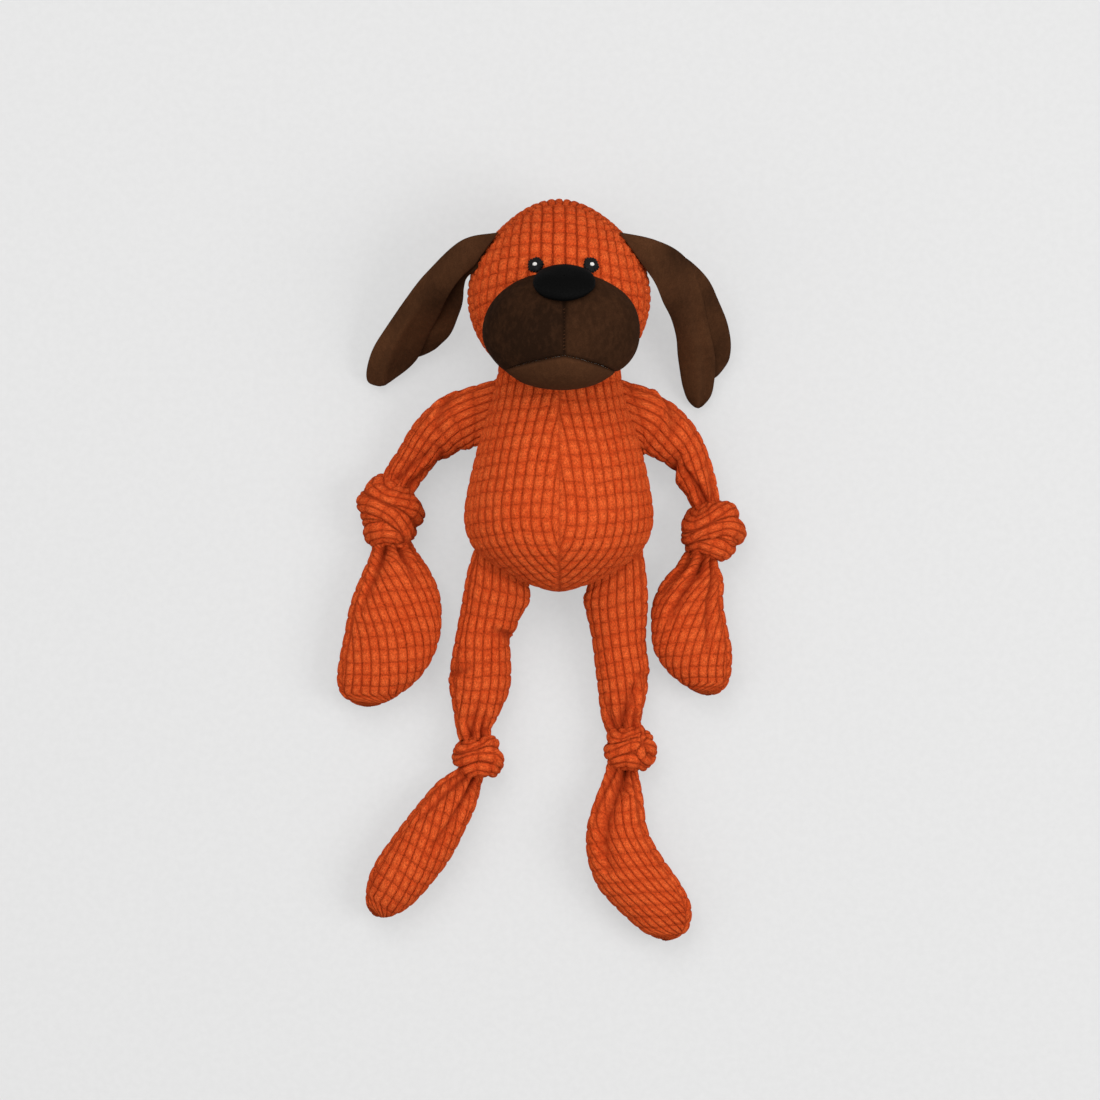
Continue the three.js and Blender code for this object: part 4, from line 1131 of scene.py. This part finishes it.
def make_limb(name, sizes, finish):
    """One tube of corduroy with a knot in it: the sleeve, the knot and the stuffed end."""
    limb = LIMBS[name]
    side = name.split("_")[1]
    end = limb["end"]
    seed = len(name)
    sleeve = limb_form(limb["sleeve"], limb["root_across"], 1)
    gathering = (-SLEEVE_SLACK * (len(limb["sleeve"]) - 1), 1)
    cloths = tube_panels(limb, "sleeve", sleeve, sizes, gathering, SLEEVE_SLANT, seed)
    piece = mesh_piece(f"{name}_sleeve_cloth", cloths, finish)
    stand_for(piece, "sleeve", f"{name}_sleeve")
    metres(limb["start"])
    metres(limb["stop"])
    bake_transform(piece)
    make_core(f"{name}_filling", name, limb["sleeve"], sleeve)

    make_knot(name, limb, sizes, finish)

    paw = limb_form(limb["paw"], limb["paw_across"], len(limb["paw"]) + 2)
    cloths = tube_panels(limb, "paw", paw, sizes, (1, -PAW_SLACK), 1, seed + 3)
    piece = mesh_piece(f"{name}_{end}_cloth", cloths, finish)
    stand_for(piece, "end", f"{name}_{end}")
    wrist = Vector(limb["wrist"])
    onward = (wrist - Vector(limb["knot"][:3])).normalized()
    bend_start, bend_stop = wrist - onward * WRIST_BEND[0], wrist + onward * WRIST_BEND[1]
    metres(bend_start)
    metres(bend_stop)
    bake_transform(piece)
    make_core(f"{name}_{end}_filling", f"{end}_{side}", limb["paw"], paw)


def make_core(node, body, rows, form):
    """The filling inside a limb's cloth, smaller than it all round."""
    spacing, columns = 3, 24
    start_share, stop_share, end_power = 0.22, 0.9, 0.35
    places = even_places(rows, spacing, [0, 1, 2, 3])
    first, last = int(len(places) * start_share), int(len(places) * stop_share)
    cloth = Cloth(form, places[first:last], around(columns))
    closing = np.sin(np.linspace(0, math.pi, last - first))[:, None, None] ** end_power
    middle = cloth.points[:, :-1].mean(axis=1, keepdims=True)
    cloth.points = middle + (cloth.points - middle) * closing * CORE_SHARE
    piece = mesh_piece(f"{node}_fibre", [cloth], finish_named("filling"), closed=(0,))
    dress(piece, body, "core", node)


def make_knot(name, limb, sizes, finish):
    """A drawn overhand knot: wraps of the tube laid over one another, with deep creases and painted shade
    between them.
    """
    bend_depth, fall, fall_power = 0.16, 0.6, 2.4
    far_below = -1e3
    off_every_pole = np.array([0.1, 0.2, 1.0])
    meeting_width, meeting_depth, meeting_shade = 0.08, 1.2, 0.8
    core_share, wrap_share, lowest = 0.8, 0.24, 0.45
    x, y, z, *halves = limb["knot"]
    reach = sum(halves) / 3
    columns = even_steps(2 * math.pi * reach, sizes)
    along = np.linspace(*FINE_POLES, columns // 2)[:, None]
    cloth = Cloth(ball_form((x, y, z), [half * core_share for half in halves]), along, around(columns))
    ways = unit(cloth.points - np.array([x, y, z]))
    height = np.full(ways.shape[:-1], far_below)
    under = height.copy()
    for number, (facing, tilt, offset, half_width, stand) in enumerate(WRAPS[name]):
        facing, tilt = math.radians(facing), math.radians(tilt)
        level = math.cos(tilt)
        pole = np.array([math.cos(facing) * level, math.sin(facing) * level, math.sin(tilt)])
        first = unit(np.cross(pole, off_every_pole))
        second = np.cross(pole, first)
        run = np.arctan2(ways @ second, ways @ first)
        bend = bend_depth * np.sin(2 * run + number)
        from_middle = (np.arcsin(np.clip(ways @ pole, -1, 1)) - offset + bend) / half_width
        profile = stand - fall * np.abs(from_middle) ** fall_power
        on_top = profile > height
        under = np.maximum(under, np.minimum(profile, height))
        height = np.maximum(profile, height)
        wales = round(2 * half_width * reach / KNOT_WALE)
        across = (from_middle * wales + wales + 1) / 2 + wales * number
        cloth.across = np.where(on_top, across, cloth.across)
        cloth.along = np.where(on_top, run * reach / (sizes["rib"] * KNOT_RIB) + number / 3, cloth.along)
    meeting = np.exp(-((height - under) / meeting_width) ** 2)
    height = np.maximum(height, lowest)
    cloth.across = cloth.across + soft_dents(cloth.points, "knot_wales")
    cloth.along = cloth.along + soft_dents(cloth.points, "knot_ribs")
    cells = pillows(cloth.across, cloth.along, sizes["wale_depth"], sizes["rib_depth"])
    cloth.relief = reach * wrap_share * height + cells * (1 - meeting)
    cloth.relief += soft_dents(cloth.points, "knot") - meeting_depth * meeting
    # Painted shade where one wrap meets another
    cloth.recess_shade = meeting_shade * meeting
    piece = mesh_piece(f"{name}_knot_cloth", [cloth], finish, closed=(0,))
    dress(piece, name, "knot", f"{name}_knot")


def make_stage(colours):
    """A plain pale floor, soft studio light and the camera that looks down on the toy."""
    floor = bpy.data.meshes.new("floor")
    corners = ((-1, -1), (1, -1), (1, 1), (-1, 1))
    points = [(x * FLOOR_REACH, y * FLOOR_REACH, -FLOOR_DROP) for x, y in corners]
    floor.from_pydata(points, [], [(0, 1, 2, 3)])
    floor.materials.append(backdrop_finish("pale_floor", colours.floor))
    stage = bpy.data.objects.new("floor", floor)
    bpy.context.scene.collection.objects.link(stage)

    world = bpy.data.worlds.new("studio")
    world.use_nodes = True
    world.node_tree.nodes["Background"].inputs["Color"].default_value = (1, 1, 1, 1)
    world.node_tree.nodes["Background"].inputs["Strength"].default_value = WORLD_LIGHT
    bpy.context.scene.world = world

    for name, (place, width, power) in LAMPS.items():
        lamp = bpy.data.lights.new(name, "AREA")
        lamp.size = width
        lamp.energy = power
        holder = bpy.data.objects.new(name, lamp)
        holder.location = place
        holder.rotation_euler = (-Vector(place)).to_track_quat("-Z", "Y").to_euler()
        bpy.context.scene.collection.objects.link(holder)

    lens = bpy.data.cameras.new("camera")
    lens.sensor_width = SENSOR_WIDTH
    lens.lens = lens.sensor_width * CAMERA_DISTANCE / WIDTH_SEEN
    camera = bpy.data.objects.new("camera", lens)
    camera.location = (CAMERA_AIM[0], CAMERA_AIM[1], CAMERA_AIM[2] + CAMERA_DISTANCE)
    bpy.context.scene.collection.objects.link(camera)
    bpy.context.scene.camera = camera
    bpy.context.scene.view_settings.view_transform = "Standard"


# Settings, operators and panel

class PlushDogSettings(PropertyGroup):
    """Sizes and colours of the toy's cloth."""
    wale_width: FloatProperty(
        name="Wale width", description="Width of one raised wale", default=0.0053, unit="LENGTH",
    )
    rib_length: FloatProperty(
        name="Rib length", description="Length of one raised cell", default=0.0071, unit="LENGTH",
    )
    wale_depth: FloatProperty(
        name="Wale depth", description="Depth of the grooves between wales", default=0.0012, unit="LENGTH",
    )
    rib_depth: FloatProperty(
        name="Rib depth", description="Depth of the grooves across the wales", default=0.0006, unit="LENGTH",
    )
    seam_depth: FloatProperty(
        name="Seam depth", description="How deep a sewn seam sinks", default=0.001, unit="LENGTH",
    )
    grid_step: FloatProperty(
        name="Mesh step", description="Distance between mesh points", default=0.0008, unit="LENGTH",
    )
    corduroy: FloatVectorProperty(
        name="Corduroy", description="Colour of the pile", subtype="COLOR", default=(0.62, 0.07, 0.0125),
    )
    # Colour toward which cells pale at random, and of the painted highlight on cell crowns
    corduroy_paler_and_lit: FloatVectorProperty(
        name="Paler and lit corduroy", description="Colour of paler cells and of the painted highlight on cell crowns", subtype="COLOR",
        default=(0.86, 0.145, 0.032),
    )
    # Colour of the painted shade in the grooves and creases, also used for specks between the fibres
    corduroy_groove: FloatVectorProperty(
        name="Corduroy groove", description="Colour deep in the grooves", subtype="COLOR",
        default=(0.24, 0.02, 0.004),
    )
    velour: FloatVectorProperty(
        name="Velour", description="Colour of the brown pile", subtype="COLOR",
        default=(0.016, 0.0067, 0.003),
    )
    # Colour of the lighter pile, in random patches and tufts and in the pieces set lighter
    velour_lighter: FloatVectorProperty(
        name="Lighter velour", description="Colour of the lighter pile", subtype="COLOR",
        default=(0.13, 0.05, 0.02),
    )
    floor: FloatVectorProperty(
        name="Floor", description="Colour of the floor", subtype="COLOR", default=(0.22, 0.22, 0.22),
    )


def cloth_sizes():
    """The cloth's sizes in millimetres."""
    settings = bpy.context.scene.plush_dog
    return {
        "wale": settings.wale_width / MM,
        "rib": settings.rib_length / MM,
        "wale_depth": settings.wale_depth / MM,
        "rib_depth": settings.rib_depth / MM,
        "seam_depth": settings.seam_depth / MM,
        "grid": settings.grid_step / MM,
    }


def finish_named(name):
    """A finish by its name, made once."""
    full_name = f"{name}_finish"
    made = bpy.data.materials.get(full_name)
    if made:
        return made
    settings = bpy.context.scene.plush_dog
    if name == "corduroy":
        return corduroy_finish(full_name, settings.corduroy, settings.corduroy_paler_and_lit, settings.corduroy_groove)
    if name == "velour":
        return velour_finish(full_name, settings.velour, settings.velour_lighter)
    if name == "brown_thread":
        return thread_finish(full_name, settings.velour, settings.velour_lighter, *BROWN_THREAD)
    if name in THREADS:
        return thread_finish(full_name, *THREADS[name])
    return loose_finish(full_name, *LOOSE_STUFFS[name])


class PLUSHDOG_OT_fill(Operator):
    """Give the filling and the squeaker inside the toy their finishes"""
    bl_idname = "plush_dog.fill"
    bl_label = "Filling and Squeaker"

    def execute(self, context):
        for name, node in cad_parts.items():
            if name.startswith("squeaker"):
                node.data.materials.clear()
                node.data.materials.append(finish_named("squeaker_vinyl"))
            elif "filling" in name:
                node.data.materials.clear()
                node.data.materials.append(finish_named("filling"))
        return {"FINISHED"}


class PLUSHDOG_OT_torso(Operator):
    """Make the torso's three corduroy panels"""
    bl_idname = "plush_dog.torso"
    bl_label = "Torso"

    def execute(self, context):
        make_torso(cloth_sizes(), finish_named("corduroy"))
        return {"FINISHED"}


class PLUSHDOG_OT_head(Operator):
    """Make the head's front and back panels"""
    bl_idname = "plush_dog.head"
    bl_label = "Head"

    def execute(self, context):
        make_head(cloth_sizes(), finish_named("corduroy"))
        return {"FINISHED"}


class PLUSHDOG_OT_face(Operator):
    """Make the snout, the nose and the embroidered eyes"""
    bl_idname = "plush_dog.face"
    bl_label = "Face"

    def execute(self, context):
        make_snout(cloth_sizes(), finish_named("velour"), finish_named("brown_thread"))
        make_nose(cloth_sizes(), finish_named("nose_satin"))
        make_eyes(finish_named("black_thread"), finish_named("white_thread"))
        return {"FINISHED"}


class PLUSHDOG_OT_ears(Operator):
    """Make the folded velour ears"""
    bl_idname = "plush_dog.ears"
    bl_label = "Ears"

    def execute(self, context):
        make_ears(cloth_sizes(), finish_named("velour"))
        return {"FINISHED"}


class PLUSHDOG_OT_arms(Operator):
    """Make the arms with their knots and paws"""
    bl_idname = "plush_dog.arms"
    bl_label = "Arms"

    def execute(self, context):
        for name in ("arm_left", "arm_right"):
            make_limb(name, cloth_sizes(), finish_named("corduroy"))
        return {"FINISHED"}


class PLUSHDOG_OT_legs(Operator):
    """Make the legs with their knots and feet"""
    bl_idname = "plush_dog.legs"
    bl_label = "Legs"

    def execute(self, context):
        for name in ("leg_left", "leg_right"):
            make_limb(name, cloth_sizes(), finish_named("corduroy"))
        return {"FINISHED"}


class PLUSHDOG_OT_stage(Operator):
    """Set up the floor, the light and the camera"""
    bl_idname = "plush_dog.stage"
    bl_label = "Stage"

    def execute(self, context):
        make_stage(context.scene.plush_dog)
        return {"FINISHED"}


class PLUSHDOG_PT_panel(Panel):
    """Sizes, colours and pieces of the toy"""
    bl_idname = "PLUSHDOG_PT_panel"
    bl_label = "Plush Dog Toy"
    bl_space_type = "VIEW_3D"
    bl_region_type = "UI"
    bl_category = "Plush Dog"

    def draw(self, context):
        settings = context.scene.plush_dog
        for name in settings.bl_rna.properties.keys():
            if name not in ("rna_type", "name"):
                self.layout.prop(settings, name)
        for operator in MAKERS:
            self.layout.operator(operator.bl_idname)


MAKERS = (
    PLUSHDOG_OT_stage, PLUSHDOG_OT_fill, PLUSHDOG_OT_torso, PLUSHDOG_OT_head,
    PLUSHDOG_OT_face, PLUSHDOG_OT_ears, PLUSHDOG_OT_arms, PLUSHDOG_OT_legs,
)


def register():
    bpy.utils.register_class(PlushDogSettings)
    for operator in MAKERS:
        bpy.utils.register_class(operator)
    bpy.utils.register_class(PLUSHDOG_PT_panel)
    bpy.types.Scene.plush_dog = PointerProperty(type=PlushDogSettings)


def unregister():
    del bpy.types.Scene.plush_dog
    bpy.utils.unregister_class(PLUSHDOG_PT_panel)
    for operator in reversed(MAKERS):
        bpy.utils.unregister_class(operator)
    bpy.utils.unregister_class(PlushDogSettings)


def main():
    """Make the whole toy."""
    register()
    bpy.ops.plush_dog.stage()
    bpy.ops.plush_dog.fill()
    bpy.ops.plush_dog.torso()
    bpy.ops.plush_dog.head()
    bpy.ops.plush_dog.face()
    bpy.ops.plush_dog.ears()
    bpy.ops.plush_dog.arms()
    bpy.ops.plush_dog.legs()


if __name__ == "__main__":
    main()
